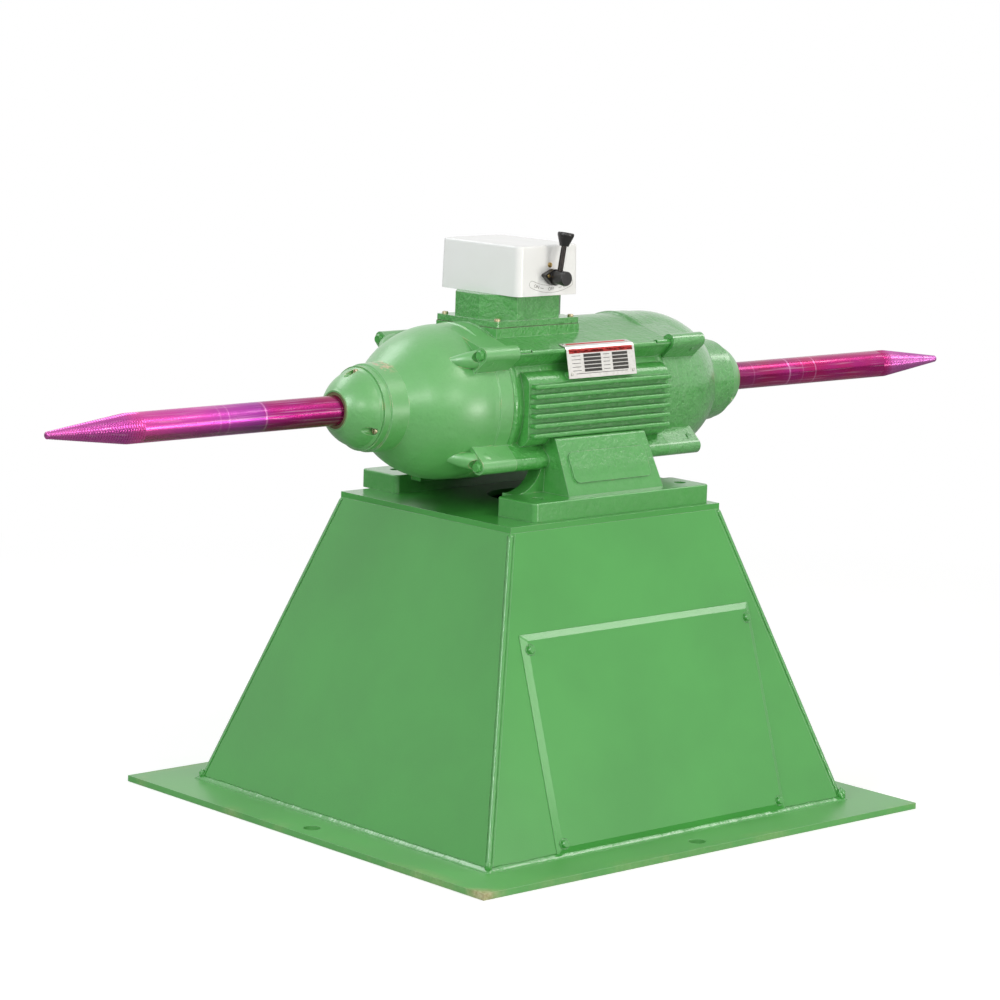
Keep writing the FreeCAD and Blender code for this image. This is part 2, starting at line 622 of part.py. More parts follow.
def fairing(y_sign, z_sign):
    """The tapering swell on the dome behind an ear."""
    wires = []
    reach = math.hypot(BOLT_CIRCLE_Y, BOLT_CIRCLE_Z)
    bolt_angle = math.atan2(BOLT_CIRCLE_Z, BOLT_CIRCLE_Y)
    for x, distance, spread, radius in ((EAR_END_X - 18, reach - 8, 0, EAR_R + 2),
                                        (EAR_END_X + 9, reach - 20, FAIRING_SPREAD * 0.3, EAR_R),
                                        (FAIRING_END_X, FAIRING_TIP_R, FAIRING_SPREAD, 3)):
        angle = bolt_angle + math.radians(spread)
        centre = Vector(x, y_sign * distance * math.cos(angle), z_sign * distance * math.sin(angle))
        wires.append(Part.Wire(Part.makeCircle(radius, centre, Vector(1, 0, 0))))
    return Part.makeLoft(wires, True, False)


def end_bell():
    rim = FRAME_HALF + BELL_RIM_WIDTH
    dome = turned((FRAME_HALF, 0), (FRAME_HALF, BELL_RIM_R - 1), (FRAME_HALF + 1, BELL_RIM_R),
                  (rim - 1.5, BELL_RIM_R), (rim, BELL_R), (rim + 8, BELL_R),
                  ((228, 98.0), (264, 79.5)), ((276, 69.5), (HOUSING_START_X, HOUSING_R)),
                  (HOUSING_STEP_X, HOUSING_R - 1), (HOUSING_STEP_X + 1, HOUSING_RING_R),
                  (HOUSING_FACE_X, HOUSING_RING_R), (HOUSING_FACE_X, 0))
    ears = [shoulder(FRAME_HALF, EAR_END_X - 14), other_side(shoulder(FRAME_HALF, EAR_END_X - 14))]
    for z_sign in (-1, 1):
        spar = ear_spar(FRAME_HALF, EAR_END_X, z_sign)
        ears += [spar, other_side(spar)]
    for sy in (-1, 1):
        for sz in (-1, 1):
            ears.append(fairing(sy, sz))
    bell = dome.fuse(ears)
    cap_r = HOUSING_RING_R - 4
    inner = BELL_R - BELL_WALL
    cavity = turned((FRAME_HALF - 1, 0), (FRAME_HALF - 1, FRAME_BORE_R - 6), (FRAME_HALF + 8, FRAME_BORE_R - 6),
                    (FRAME_HALF + 14, inner), (200, inner), ((232, 85.5), (262, 66)),
                    (BEARING_X - 18, cap_r), (BEARING_X - 10, cap_r), (BEARING_X - 10, 0))
    bell = bell.cut([cavity, rod_x(BEARING_R + LOCATING, BEARING_X, HOUSING_FACE_X),
                     rod_x(BEARING_R - 7, BEARING_X - 12, BEARING_X)])
    spigot = rod_x(FRAME_BORE_R - LOCATING, FRAME_HALF - SPIGOT_LENGTH, FRAME_HALF + 2)
    spigot = spigot.cut(rod_x(FRAME_BORE_R - 6, FRAME_HALF - SPIGOT_LENGTH, FRAME_HALF + 2))
    bell = bell.fuse(spigot)
    holes = []
    for y, z in bell_bolt_places():
        holes.append(rod_x(BELL_BOLT_D / 2 + BOLT_HOLE, FRAME_HALF, EAR_END_X, y, z))
        holes.append(rod_x(SPOT_FACE_R, EAR_END_X, EAR_END_X + SPOT_FACE_DEPTH, y, z))
    for y, z in cover_screw_places():
        holes.append(rod_x(COVER_SCREW_D / 2 + THREAD, BEARING_X - 10, HOUSING_FACE_X, y, z))
    return bell.cut(holes).removeSplitter()


def cover_screw_places():
    angles = [math.radians(90 + 120 * k) for k in range(3)]
    return [(COVER_SCREW_R * math.cos(a), COVER_SCREW_R * math.sin(a)) for a in angles]


def bearing_cover(spigot_end):
    """The domed cap over the bearing, with its felt seat and screw pockets."""
    cover = turned((HOUSING_FACE_X, COVER_WALL_R), (HOUSING_FACE_X + 2, COVER_WALL_R + 16),
                   (COVER_FACE_X - SEAL_WIDTH - 6, COVER_WALL_R), (COVER_FACE_X - SEAL_WIDTH, COVER_WALL_R),
                   (COVER_FACE_X - SEAL_WIDTH, COVER_BORE_R), (COVER_FACE_X, COVER_BORE_R),
                   (COVER_FACE_X, COVER_HUB_R - 1), (COVER_FACE_X - 1, COVER_HUB_R),
                   ((352, 41.5), (331, COVER_R - 2.5)), (328, COVER_R), (HOUSING_FACE_X, COVER_R),
                   (HOUSING_FACE_X, BEARING_R - RUNNING), (spigot_end, BEARING_R - RUNNING),
                   (spigot_end, BEARING_R - 6.5), (HOUSING_FACE_X, BEARING_R - 6.5))
    holes = []
    for y, z in cover_screw_places():
        holes.append(rod_x(COVER_SCREW_D / 2 + BOLT_HOLE, HOUSING_FACE_X - 1, COVER_FACE_X, y, z))
        holes.append(rod_x(COVER_SCREW_D + 0.6, HOUSING_FACE_X + 4, COVER_FACE_X, y, z))
    return cover.cut(holes)


def cover_screws():
    seat = HOUSING_FACE_X + 4
    solid = screw(COVER_SCREW_D, COVER_SCREW_D * 0.9, 3.0, COVER_SCREW_LENGTH)
    return Part.makeCompound([pointed(solid, Vector(seat, y, z), Vector(1, 0, 0)) for y, z in cover_screw_places()])


def inner_cap():
    """The grease cap inside the bell, clamped by the cover screws."""
    face = BEARING_X - 10
    cap = turned((face - INNER_CAP, SHAFT_BODY_R + 0.6), (face - INNER_CAP, HOUSING_RING_R - 5),
                 (face, HOUSING_RING_R - 5), (face, BEARING_R - 7 - RUNNING),
                 (face + 7, BEARING_R - 7 - RUNNING), (face + 7, BEARING_R - 13),
                 (face, BEARING_R - 13), (face, SHAFT_BODY_R + 0.6))
    holes = [rod_x(COVER_SCREW_D / 2 + THREAD, face - INNER_CAP, face, y, z) for y, z in cover_screw_places()]
    return cap.cut(holes)


def shaft_seal():
    x1 = COVER_FACE_X - 0.8
    return turned((COVER_FACE_X - SEAL_WIDTH, BEARING_BORE_R + RUNNING), (x1, BEARING_BORE_R + RUNNING),
                  (x1, COVER_BORE_R - LOCATING), (COVER_FACE_X - SEAL_WIDTH, COVER_BORE_R - LOCATING))


def bearing_rings():
    """Outer and inner rings with their ball grooves."""
    groove = turned((BEARING_X + BEARING_WIDTH / 2, BALL_PITCH_R - BALL_R - SOFT_GAP),
                    ((BEARING_X + BEARING_WIDTH / 2 + BALL_R + SOFT_GAP, BALL_PITCH_R),
                     (BEARING_X + BEARING_WIDTH / 2, BALL_PITCH_R + BALL_R + SOFT_GAP)),
                    ((BEARING_X + BEARING_WIDTH / 2 - BALL_R - SOFT_GAP, BALL_PITCH_R),
                     (BEARING_X + BEARING_WIDTH / 2, BALL_PITCH_R - BALL_R - SOFT_GAP)))
    x0, x1 = BEARING_X, BEARING_END_X
    shoulder_r = BALL_PITCH_R + RACE_SHOULDER
    outer = turned((x0, shoulder_r), (x0, BEARING_R - 1), (x0 + 1, BEARING_R), (x1 - 1, BEARING_R),
                   (x1, BEARING_R - 1), (x1, shoulder_r))
    shoulder_r = BALL_PITCH_R - RACE_SHOULDER
    inner = turned((x0, BEARING_BORE_R + LOCATING), (x1, BEARING_BORE_R + LOCATING), (x1, shoulder_r),
                   (x0, shoulder_r))
    return outer.cut(groove), inner.cut(groove)


def ball_centres():
    x = BEARING_X + BEARING_WIDTH / 2
    angles = [2 * math.pi * k / BALL_COUNT for k in range(BALL_COUNT)]
    return [Vector(x, BALL_PITCH_R * math.cos(a), BALL_PITCH_R * math.sin(a)) for a in angles]


def bearing_balls():
    return Part.makeCompound([Part.makeSphere(BALL_R, centre) for centre in ball_centres()])


def bearing_cage():
    middle = BEARING_X + BEARING_WIDTH / 2
    half = BALL_R + SOFT_GAP + CAGE_RAIL
    low, high = BALL_PITCH_R - CAGE_THICKNESS / 2, BALL_PITCH_R + CAGE_THICKNESS / 2
    ring = turned((middle - half, low), (middle + half, low), (middle + half, high), (middle - half, high))
    pockets = [Part.makeCylinder(BALL_R + SOFT_GAP, CAGE_THICKNESS * 3, centre * 1.0, Vector(0, centre.y, centre.z))
               for centre in ball_centres()]
    for pocket, centre in zip(pockets, ball_centres()):
        inward = Vector(0, centre.y, centre.z).normalize() * (-CAGE_THICKNESS * 1.5)
        pocket.translate(inward)
    return ring.cut(pockets)


def preload_washer():
    return turned((BEARING_END_X + SOFT_GAP, BEARING_R - 5.5), (BEARING_END_X + SOFT_GAP, BEARING_R - 1.2),
                  (BEARING_END_X + SOFT_GAP + PRELOAD_WASHER, BEARING_R - 1.2),
                  (BEARING_END_X + SOFT_GAP + PRELOAD_WASHER, BEARING_R - 5.5))


def bell_bolts():
    solid = bolt(BELL_BOLT_D, BELL_BOLT_HEAD_AF, BELL_BOLT_HEAD, BELL_BOLT_LENGTH)
    return Part.makeCompound([pointed(solid, Vector(EAR_END_X, y, z), Vector(1, 0, 0))
                              for y, z in bell_bolt_places()])


# Stator, rotor and spindle

def slot_angles():
    return [360.0 * k / SLOT_COUNT for k in range(SLOT_COUNT)]


def turned_copies(shape, angles):
    copies = []
    for angle in angles:
        copy = shape.copy()
        copy.rotate(Vector(0, 0, 0), Vector(1, 0, 0), angle)
        copies.append(copy)
    return copies


def stator_core():
    core = rod_x(FRAME_BORE_R - LOCATING, -CORE_HALF, CORE_HALF).cut(rod_x(STATOR_BORE_R, -CORE_HALF, CORE_HALF))
    slot = block(-CORE_HALF, CORE_HALF, -SLOT_WIDTH / 2, SLOT_WIDTH / 2,
                 STATOR_BORE_R - 2, STATOR_BORE_R + SLOT_DEPTH)
    return core.cut(turned_copies(slot, slot_angles()))


def stator_winding():
    """Coil sides in the slots, joined by an end turn at each end."""
    low, high = STATOR_BORE_R + 3, STATOR_BORE_R + SLOT_DEPTH
    reach = CORE_HALF + WINDING_REACH
    end_turn = turned((CORE_HALF + 2, low), (reach - 6, low), ((reach - 1.5, low + 2), (reach, low + 8)),
                      (reach, high - 4), ((reach - 1.5, high - 1), (reach - 6, high)), (CORE_HALF + 2, high))
    gap = SOFT_GAP
    side = block(-CORE_HALF - 3, CORE_HALF + 3, -SLOT_WIDTH / 2 + gap, SLOT_WIDTH / 2 - gap, low, high - gap)
    return end_turn.fuse([other_end(end_turn)] + turned_copies(side, slot_angles())).removeSplitter()


def spindle_shaft():
    """One turned shaft: core seat, bearing seats, and a tapered spindle at each end."""
    half = turned((0, 0), (0, CORE_SEAT_R), (CORE_HALF + 4, CORE_SEAT_R), (CORE_HALF + 6, SHAFT_BODY_R),
                  (BEARING_X, SHAFT_BODY_R), (BEARING_X, BEARING_BORE_R), (SEAT_END_X, BEARING_BORE_R),
                  (SEAT_END_X, RELIEF_R), (SEAT_END_X + RELIEF_WIDTH, RELIEF_R),
                  (SEAT_END_X + RELIEF_WIDTH, SPINDLE_R), (TAPER_START_X, SPINDLE_R),
                  (SPINDLE_HALF - 1.5, TIP_R + 0.2), (SPINDLE_HALF, TIP_R - 1.2), (SPINDLE_HALF, 0))
    shaft = half.fuse(other_end(half)).removeSplitter()
    keyway = block(-CORE_HALF * 0.8, CORE_HALF * 0.8, -KEY_WIDTH / 2, KEY_WIDTH / 2,
                   CORE_SEAT_R - KEY_HEIGHT / 2, CORE_SEAT_R + KEY_HEIGHT)
    return shaft.cut(keyway)


def rotor_key():
    gap = LOCATING
    return block(-CORE_HALF * 0.8 + gap, CORE_HALF * 0.8 - gap, -KEY_WIDTH / 2 + gap, KEY_WIDTH / 2 - gap,
                 CORE_SEAT_R - KEY_HEIGHT / 2, CORE_SEAT_R + KEY_HEIGHT / 2)


def rotor_core():
    core = rod_x(ROTOR_R, -CORE_HALF, CORE_HALF)
    keyway = block(-CORE_HALF, CORE_HALF, -KEY_WIDTH / 2, KEY_WIDTH / 2, 0, CORE_SEAT_R + KEY_HEIGHT / 2 + LOCATING)
    return core.cut([rod_x(CORE_SEAT_R + LOCATING, -CORE_HALF, CORE_HALF), keyway])


def rotor_end_rings():
    """The cast end rings with their fan blades, one solid at each end of the core."""
    ring = turned((CORE_HALF, END_RING_BORE_R), (CORE_HALF, ROTOR_R), (CORE_HALF + END_RING, ROTOR_R - 2),
                  (CORE_HALF + END_RING, END_RING_BORE_R))
    blade = block(CORE_HALF + END_RING - 1, CORE_HALF + END_RING + FAN_BLADE_REACH, -1.5, 1.5, END_RING_BORE_R + 2, ROTOR_R - 4)
    angles = [360.0 * k / FAN_BLADES for k in range(FAN_BLADES)]
    ring = ring.fuse(turned_copies(blade, angles)).removeSplitter()
    return Part.makeCompound([ring, other_end(ring)])


# Terminal box

def flange_screw_places():
    a, b = FLANGE_LENGTH / 2 - FLANGE_SCREW_INSET, FLANGE_WIDTH / 2 - FLANGE_SCREW_INSET
    return [(BOX_X + sx * a, sy * b) for sx in (-1, 1) for sy in (-1, 1)]


def tower(inset, z0, z1):
    """The eight-sided tower, or its cavity when inset."""
    a, b, c = FLANGE_LENGTH / 2 - 1 - inset, FLANGE_WIDTH / 2 - 1 - inset, TOWER_CORNER - inset * 0.59
    corners = [(-a, -b + c), (-a + c, -b), (a - c, -b), (a, -b + c), (a, b - c), (a - c, b), (-a + c, b), (-a, b - c)]
    points = [Vector(BOX_X + x, y, z0) for x, y in corners]
    return Part.Face(Part.makePolygon(points + [points[0]])).extrude(Vector(0, 0, z1 - z0))


def base_screw_places():
    return [(BOX_X + sx * BASE_SCREW_SPREAD, sy * BASE_SCREW_SPREAD) for sx in (-1, 1) for sy in (-1, 1)]


def terminal_body():
    z0 = FLANGE_TOP_Z - FLANGE_THICKNESS
    body = rounded_plate(FLANGE_LENGTH, FLANGE_WIDTH, 3, z0, FLANGE_TOP_Z, BOX_X, 0)
    body = body.fuse(tower(0, FLANGE_TOP_Z - 1, TOWER_TOP_Z)).removeSplitter()
    holes = [tower(TOWER_WALL, z0, TOWER_TOP_Z - TOWER_ROOF),
             rod_z(TOWER_WIRE_HOLE_R, z0, TOWER_TOP_Z, BOX_X, 0)]
    holes += [rod_z(FLANGE_SCREW_D / 2 + BOLT_HOLE, z0, FLANGE_TOP_Z, x, y) for x, y in flange_screw_places()]
    holes += [rod_z(FLANGE_SCREW_D / 2 + THREAD, z0 + 15, TOWER_TOP_Z, x, y) for x, y in base_screw_places()]
    return body.cut(holes)


def terminal_gasket():
    gasket = rounded_plate(FLANGE_LENGTH, FLANGE_WIDTH, 3, FRAME_PAD_Z, FRAME_PAD_Z + GASKET, BOX_X, 0)
    holes = [tower(TOWER_WALL, FRAME_PAD_Z, FRAME_PAD_Z + GASKET)]
    holes += [rod_z(FLANGE_SCREW_D / 2 + BOLT_HOLE, FRAME_PAD_Z, FLANGE_TOP_Z, x, y)
              for x, y in flange_screw_places()]
    return gasket.cut(holes)


def flange_screws():
    solid = screw(FLANGE_SCREW_D, FLANGE_SCREW_HEAD_R, FLANGE_SCREW_HEAD, FLANGE_THICKNESS + GASKET + 9)
    return Part.makeCompound([moved(solid, x, y, FLANGE_TOP_Z) for x, y in flange_screw_places()])


def terminal_stud_places():
    centre = BOX_X + BLOCK_OFFSET_X
    return [(centre + (k - (STUD_COUNT - 1) / 2) * STUD_PITCH, side * BLOCK_WIDTH / 4)
            for k in range(STUD_COUNT) for side in (-1, 1)]


def terminal_block():
    centre, z1 = BOX_X + BLOCK_OFFSET_X, FRAME_PAD_Z + BLOCK_HEIGHT
    base = block(centre - BLOCK_LENGTH / 2, centre + BLOCK_LENGTH / 2, -BLOCK_WIDTH / 2, BLOCK_WIDTH / 2,
                 FRAME_PAD_Z, z1 - 5)
    walls = [block(centre - BLOCK_LENGTH / 2, centre + BLOCK_LENGTH / 2, -1.2, 1.2, z1 - 6, z1)]
    for k in range(STUD_COUNT + 1):
        x = centre + (k - STUD_COUNT / 2) * STUD_PITCH
        walls.append(block(x - 1, x + 1, -BLOCK_WIDTH / 2, BLOCK_WIDTH / 2, z1 - 6, z1))
    body = base.fuse(walls).removeSplitter()
    return body.cut([rod_z(STUD_R + LOCATING, FRAME_PAD_Z + 3, z1, x, y) for x, y in terminal_stud_places()])


def terminal_studs():
    studs = []
    floor = FRAME_PAD_Z + BLOCK_HEIGHT - 5
    for x, y in terminal_stud_places():
        nut = moved(hexagon(8, 3.5), x, y, floor)
        studs.append(rod_z(STUD_R, FRAME_PAD_Z + 3, floor + 8, x, y).fuse(nut).removeSplitter())
    return Part.makeCompound(studs)


# Drum switch in its cover, with the lever handle

def switch_shell(inset, z0, z1):
    low = rounded_rectangle(SWITCH_LENGTH - 2 * inset, SWITCH_WIDTH - 2 * inset, SWITCH_CORNER_R - inset,
                            z0, BOX_X, 0)
    shrink = 2 * (inset + SWITCH_DRAFT)
    high = rounded_rectangle(SWITCH_LENGTH - shrink, SWITCH_WIDTH - shrink, SWITCH_CORNER_R - inset,
                             z1, BOX_X, 0)
    return Part.makeLoft([low, high], True, True)


def switch_cover():
    z1 = TOWER_TOP_Z + SWITCH_HEIGHT
    shell = switch_shell(0, TOWER_TOP_Z, z1)
    rim = [edge for edge in shell.Edges if edge.BoundBox.ZMin > z1 - 0.1]
    shell = shell.makeFillet(SWITCH_EDGE_R, rim)
    shell = shell.cut(switch_shell(SWITCH_WALL, TOWER_TOP_Z, z1 - SWITCH_WALL))
    front = (SWITCH_FRONT_Y - 5, SWITCH_FRONT_Y + 15)
    x, z = cover_screw_place()
    return shell.cut([rod_y(DRUM_SPINDLE_R + RUNNING + 0.2, *front, DRUM_CENTRE_X, DRUM_CENTRE_Z),
                      rod_y(COVER_SCREW_SHANK_D / 2 + BOLT_HOLE, *front, x, z)])


def cover_screw_place():
    return DRUM_CENTRE_X + COVER_SCREW_OFFSET_X, DRUM_CENTRE_Z + COVER_SCREW_OFFSET_Z


def face_setback(z):
    """How far the cover's front has drawn back at height z."""
    return SWITCH_DRAFT * (z - TOWER_TOP_Z) / SWITCH_HEIGHT


def brass_cover_screw():
    x, z = cover_screw_place()
    solid = screw(COVER_SCREW_SHANK_D, COVER_SCREW_HEAD_R, 2.2, 10)
    seat = SWITCH_FRONT_Y + face_setback(z - COVER_SCREW_HEAD_R) - 0.05
    return pointed(solid, Vector(x, seat, z), Vector(0, -1, 0))


def switch_base_plate():
    gap = SWITCH_WALL + SOFT_GAP
    plate = rounded_plate(SWITCH_LENGTH - 2 * gap, SWITCH_WIDTH - 2 * gap, SWITCH_CORNER_R - gap,
                          TOWER_TOP_Z, TOWER_TOP_Z + SWITCH_BASE, BOX_X, 0)
    holes = [rod_z(TOWER_WIRE_HOLE_R - 6, TOWER_TOP_Z, TOWER_TOP_Z + SWITCH_BASE, BOX_X, 12)]
    holes += [rod_z(FLANGE_SCREW_D / 2 + BOLT_HOLE, TOWER_TOP_Z, TOWER_TOP_Z + SWITCH_BASE, x, y)
              for x, y in base_screw_places()]
    return plate.cut(holes)


def base_screws():
    solid = screw(FLANGE_SCREW_D, FLANGE_SCREW_HEAD_R, 2.6, SWITCH_BASE + TOWER_ROOF + 3)
    return Part.makeCompound([moved(solid, x, y, TOWER_TOP_Z + SWITCH_BASE) for x, y in base_screw_places()])


def contact_block():
    """The moulded cradle of the drum switch: two end cheeks, a floor and bearing holes."""
    x, y0 = DRUM_CENTRE_X, SWITCH_FRONT_Y + 7
    y1 = y0 + CONTACT_BLOCK_DEPTH
    z0 = TOWER_TOP_Z + SWITCH_BASE
    body = block(x - CONTACT_BLOCK_LENGTH / 2, x + CONTACT_BLOCK_LENGTH / 2, y0, y1, z0, z0 + CONTACT_BLOCK_HEIGHT)
    well = block(x - DRUM_R - 2, x + DRUM_R + 2, y0 + 5, y1 - 5, DRUM_CENTRE_Z - DRUM_R - 2,
                 z0 + CONTACT_BLOCK_HEIGHT)
    holes = [well, rod_y(DRUM_SPINDLE_R + RUNNING, y0, y1, x, DRUM_CENTRE_Z)]
    for bx, by in base_screw_places():
        holes.append(rod_z(FLANGE_SCREW_HEAD_R + 1, z0, z0 + 5, bx, by))
    screw_x, screw_z = cover_screw_place()
    holes.append(rod_y(COVER_SCREW_SHANK_D / 2 + THREAD, y0, y0 + 5, screw_x, screw_z))
    return body.cut(holes)


def contact_stations():
    """The (start, end) in y of each contact ring on the drum."""
    y0 = SWITCH_FRONT_Y + 7 + 5 + 5
    pitch = (CONTACT_BLOCK_DEPTH - 20) / CONTACT_COUNT
    return [(y0 + k * pitch + 3, y0 + k * pitch + pitch - 3) for k in range(CONTACT_COUNT)]


def contact_fingers():
    """Spring fingers fixed on the cradle's cheeks, reaching over the drum."""
    fingers = []
    z1 = TOWER_TOP_Z + SWITCH_BASE + CONTACT_BLOCK_HEIGHT
    for y0, y1 in contact_stations():
        for side in (-1, 1):
            root = DRUM_CENTRE_X + side * (CONTACT_BLOCK_LENGTH / 2 - 3)
            tip = DRUM_CENTRE_X + side * 5
            fingers.append(block(min(root, tip), max(root, tip), y0, y1, z1, z1 + 1.2))
    return Part.makeCompound(fingers)


def switch_drum():
    x, z = DRUM_CENTRE_X, DRUM_CENTRE_Z
    y_in, y_out = SWITCH_FRONT_Y + 7, SWITCH_FRONT_Y + 7 + CONTACT_BLOCK_DEPTH
    drum = rod_y(DRUM_SPINDLE_R, SWITCH_FRONT_Y - HUB_LENGTH / 2, y_out, x, z)
    drum = drum.fuse(rod_y(DRUM_CORE_R, y_in + 5 + SOFT_GAP, y_out - 5 - SOFT_GAP, x, z))
    for y0, y1 in contact_stations():
        ring = rod_y(DRUM_R, y0, y1, x, z)
        flat = block(x - DRUM_R, x + DRUM_R, y0, y1, z - DRUM_R, z - DRUM_CORE_R)
        drum = drum.fuse(ring.cut(flat))
    return drum.removeSplitter()


def in_handle(shape):
    """Lean a shape drawn about an upright lever to the lever's place at rest."""
    copy = shape.copy()
    copy.rotate(Vector(0, 0, 0), Vector(0, 1, 0), LEVER_TILT)
    copy.translate(Vector(DRUM_CENTRE_X, SWITCH_FRONT_Y, DRUM_CENTRE_Z))
    return copy


def handle_hub():
    tip = 1.8
    reach = POINTER_REACH - tip
    touch = math.acos((POINTER_R - tip) / reach)
    flank = Vector(math.cos(touch), 0, math.sin(touch))
    corners = [(-POINTER_R * flank.x, POINTER_R * flank.z), (-reach - tip * flank.x, tip * flank.z),
               (-reach - tip, 0), (-reach - tip * flank.x, -tip * flank.z), (-POINTER_R * flank.x, -POINTER_R * flank.z)]
    pointer = along_y(-POINTER_THICKNESS, -POINTER_STAND_OFF, corners[0], corners[1], (corners[2], corners[3]),
                      corners[4], ((POINTER_R, 0), corners[0]))
    hub = pointer.fuse([rod_y(HUB_R, -HUB_LENGTH, -POINTER_THICKNESS + 1),
                        rod_y(POINTER_NECK_R, -POINTER_STAND_OFF - 1, -SOFT_GAP)]).removeSplitter()
    bore = rod_y(DRUM_SPINDLE_R + LOCATING, -HUB_LENGTH / 2, 0)
    socket = rod_z(LEVER_ROD_R + LOCATING, 6, POINTER_R + 5, 0, -HUB_LENGTH + 9)
    grub = rod_y(2.5 + LOCATING, -POINTER_THICKNESS, -4, -POINTER_R - 1.5, 0)
    return in_handle(hub.cut([bore, socket, grub]))


def handle_rod():
    return in_handle(rod_z(LEVER_ROD_R, 6, LEVER_KNOB_START + 10, 0, -HUB_LENGTH + 9))


def handle_knob():
    knob = Part.makeCone(LEVER_KNOB_FOOT_R, LEVER_KNOB_TOP_R, LEVER_KNOB_END - LEVER_KNOB_START - 4,
                         Vector(0, -HUB_LENGTH + 9, LEVER_KNOB_START))
    top = Part.makeCylinder(LEVER_KNOB_TOP_R, 4, Vector(0, -HUB_LENGTH + 9, LEVER_KNOB_END - 4))
    edges = [edge for edge in top.Edges if edge.BoundBox.ZMin > LEVER_KNOB_END - 0.1]
    knob = knob.fuse(top.makeFillet(1.6, edges)).removeSplitter()
    return in_handle(knob.cut(rod_z(LEVER_ROD_R + LOCATING, LEVER_KNOB_START, LEVER_KNOB_START + 10,
                                    0, -HUB_LENGTH + 9)))


def handle_end_cap():
    cap = rod_y(HUB_CAP_R, -HUB_LENGTH - HUB_CAP, -HUB_LENGTH)
    edges = [edge for edge in cap.Edges if edge.BoundBox.YMax < -HUB_LENGTH - HUB_CAP + 0.1]
    return in_handle(cap.makeFillet(1.5, edges))


def handle_grub_screw():
    place = Vector(-POINTER_R - 1.5, -POINTER_THICKNESS + 1, 0)
    return in_handle(pointed(screw(3.0, 2.4, 1.4, 6), place, Vector(0, -1, 0)))


def shoulder_roof(y):
    """Height of the shoulder's roof at a distance y from the middle."""
    return SHOULDER_NOSE_Z + 4 + (SHOULDER_NOSE_Y - 5 - y) * ROOF_RISE


def plate_line():
    """The plate's inner face in section: top of the header, bend, nose and lower edge, as (y, z)."""
    head_y, bend_y = SHOULDER_NOSE_Y - PLATE_HEADER, SHOULDER_NOSE_Y - 1.6
    nose_y = SHOULDER_NOSE_Y + PLATE_NOSE_GAP
    return [(head_y, shoulder_roof(head_y) + SOFT_GAP), (bend_y, SHOULDER_NOSE_Z + 3.9),
            (nose_y, SHOULDER_NOSE_Z + 1), (nose_y + PLATE_KICK, SHOULDER_NOSE_Z - PLATE_DROP)]


def rating_plate():
    """A thin plate with a header on the shoulder's roof and a body hanging past its nose."""
    t = PLATE_THICKNESS
    top, bend, nose, low = plate_line()
    x0, x1 = PLATE_CENTRE_X - PLATE_LENGTH / 2, PLATE_CENTRE_X + PLATE_LENGTH / 2
    plate = along_x(x0, x1, (-top[0], top[1]), (-bend[0], bend[1]), (-nose[0], nose[1]), (-low[0], low[1]),
                    (-low[0] - t, low[1]), (-nose[0] - t, nose[1] + 0.4 * t), (-bend[0] - 0.5 * t, bend[1] + t),
                    (-top[0], top[1] + t))
    shank = Part.makeCylinder(RIVET_R + BOLT_HOLE / 2, 6, Vector(0, 0, -3))
    return plate.cut([pointed(shank, place, way) for place, way in rivet_places()])


def rivet_places():
    """(seat, direction) of each rivet: two through the header and two near the lower edge."""
    top, bend, nose, low = plate_line()
    places = []
    for side in (-1, 1):
        x = PLATE_CENTRE_X + side * (PLATE_LENGTH / 2 - PLATE_RIVET_INSET)
        for start, end, share in ((top, bend, 0.35), (nose, low, 0.85)):
            along = Vector(0, start[0] - end[0], end[1] - start[1]).normalize()
            out = Vector(0, along.z, -along.y)
            on_plate = Vector(x, -(start[0] + (end[0] - start[0]) * share), start[1] + (end[1] - start[1]) * share)
            places.append((on_plate + out * (PLATE_THICKNESS * 1.1), out))
    return places


def rating_plate_rivets():
    head = Part.makeCylinder(RIVET_HEAD_R, RIVET_HEAD)
    head = head.makeFillet(RIVET_HEAD * 0.6, [edge for edge in head.Edges if edge.BoundBox.ZMin > RIVET_HEAD * 0.9])
    rivet = head.fuse(Part.makeCylinder(RIVET_R, RIVET_LENGTH, Vector(0, 0, -RIVET_LENGTH))).removeSplitter()
    return Part.makeCompound([pointed(rivet, place, way) for place, way in rivet_places()])


def plate_stubs():
    """Two short bosses on the barrel that carry the rating plate's lower edge."""
    stubs = []
    for place, way in rivet_places()[1::2]:
        reach = PLATE_THICKNESS * 1.1 + SOFT_GAP
        stub = Part.makeCylinder(STUB_R, STUB_LENGTH, Vector(0, 0, -STUB_LENGTH - reach))
        stubs.append(pointed(stub, place, way))
    return stubs


def rivet_holes():
    hole = Part.makeCylinder(RIVET_R + THREAD, RIVET_LENGTH + 2, Vector(0, 0, -RIVET_LENGTH - 1))
    return [pointed(hole, place, way) for place, way in rivet_places()]


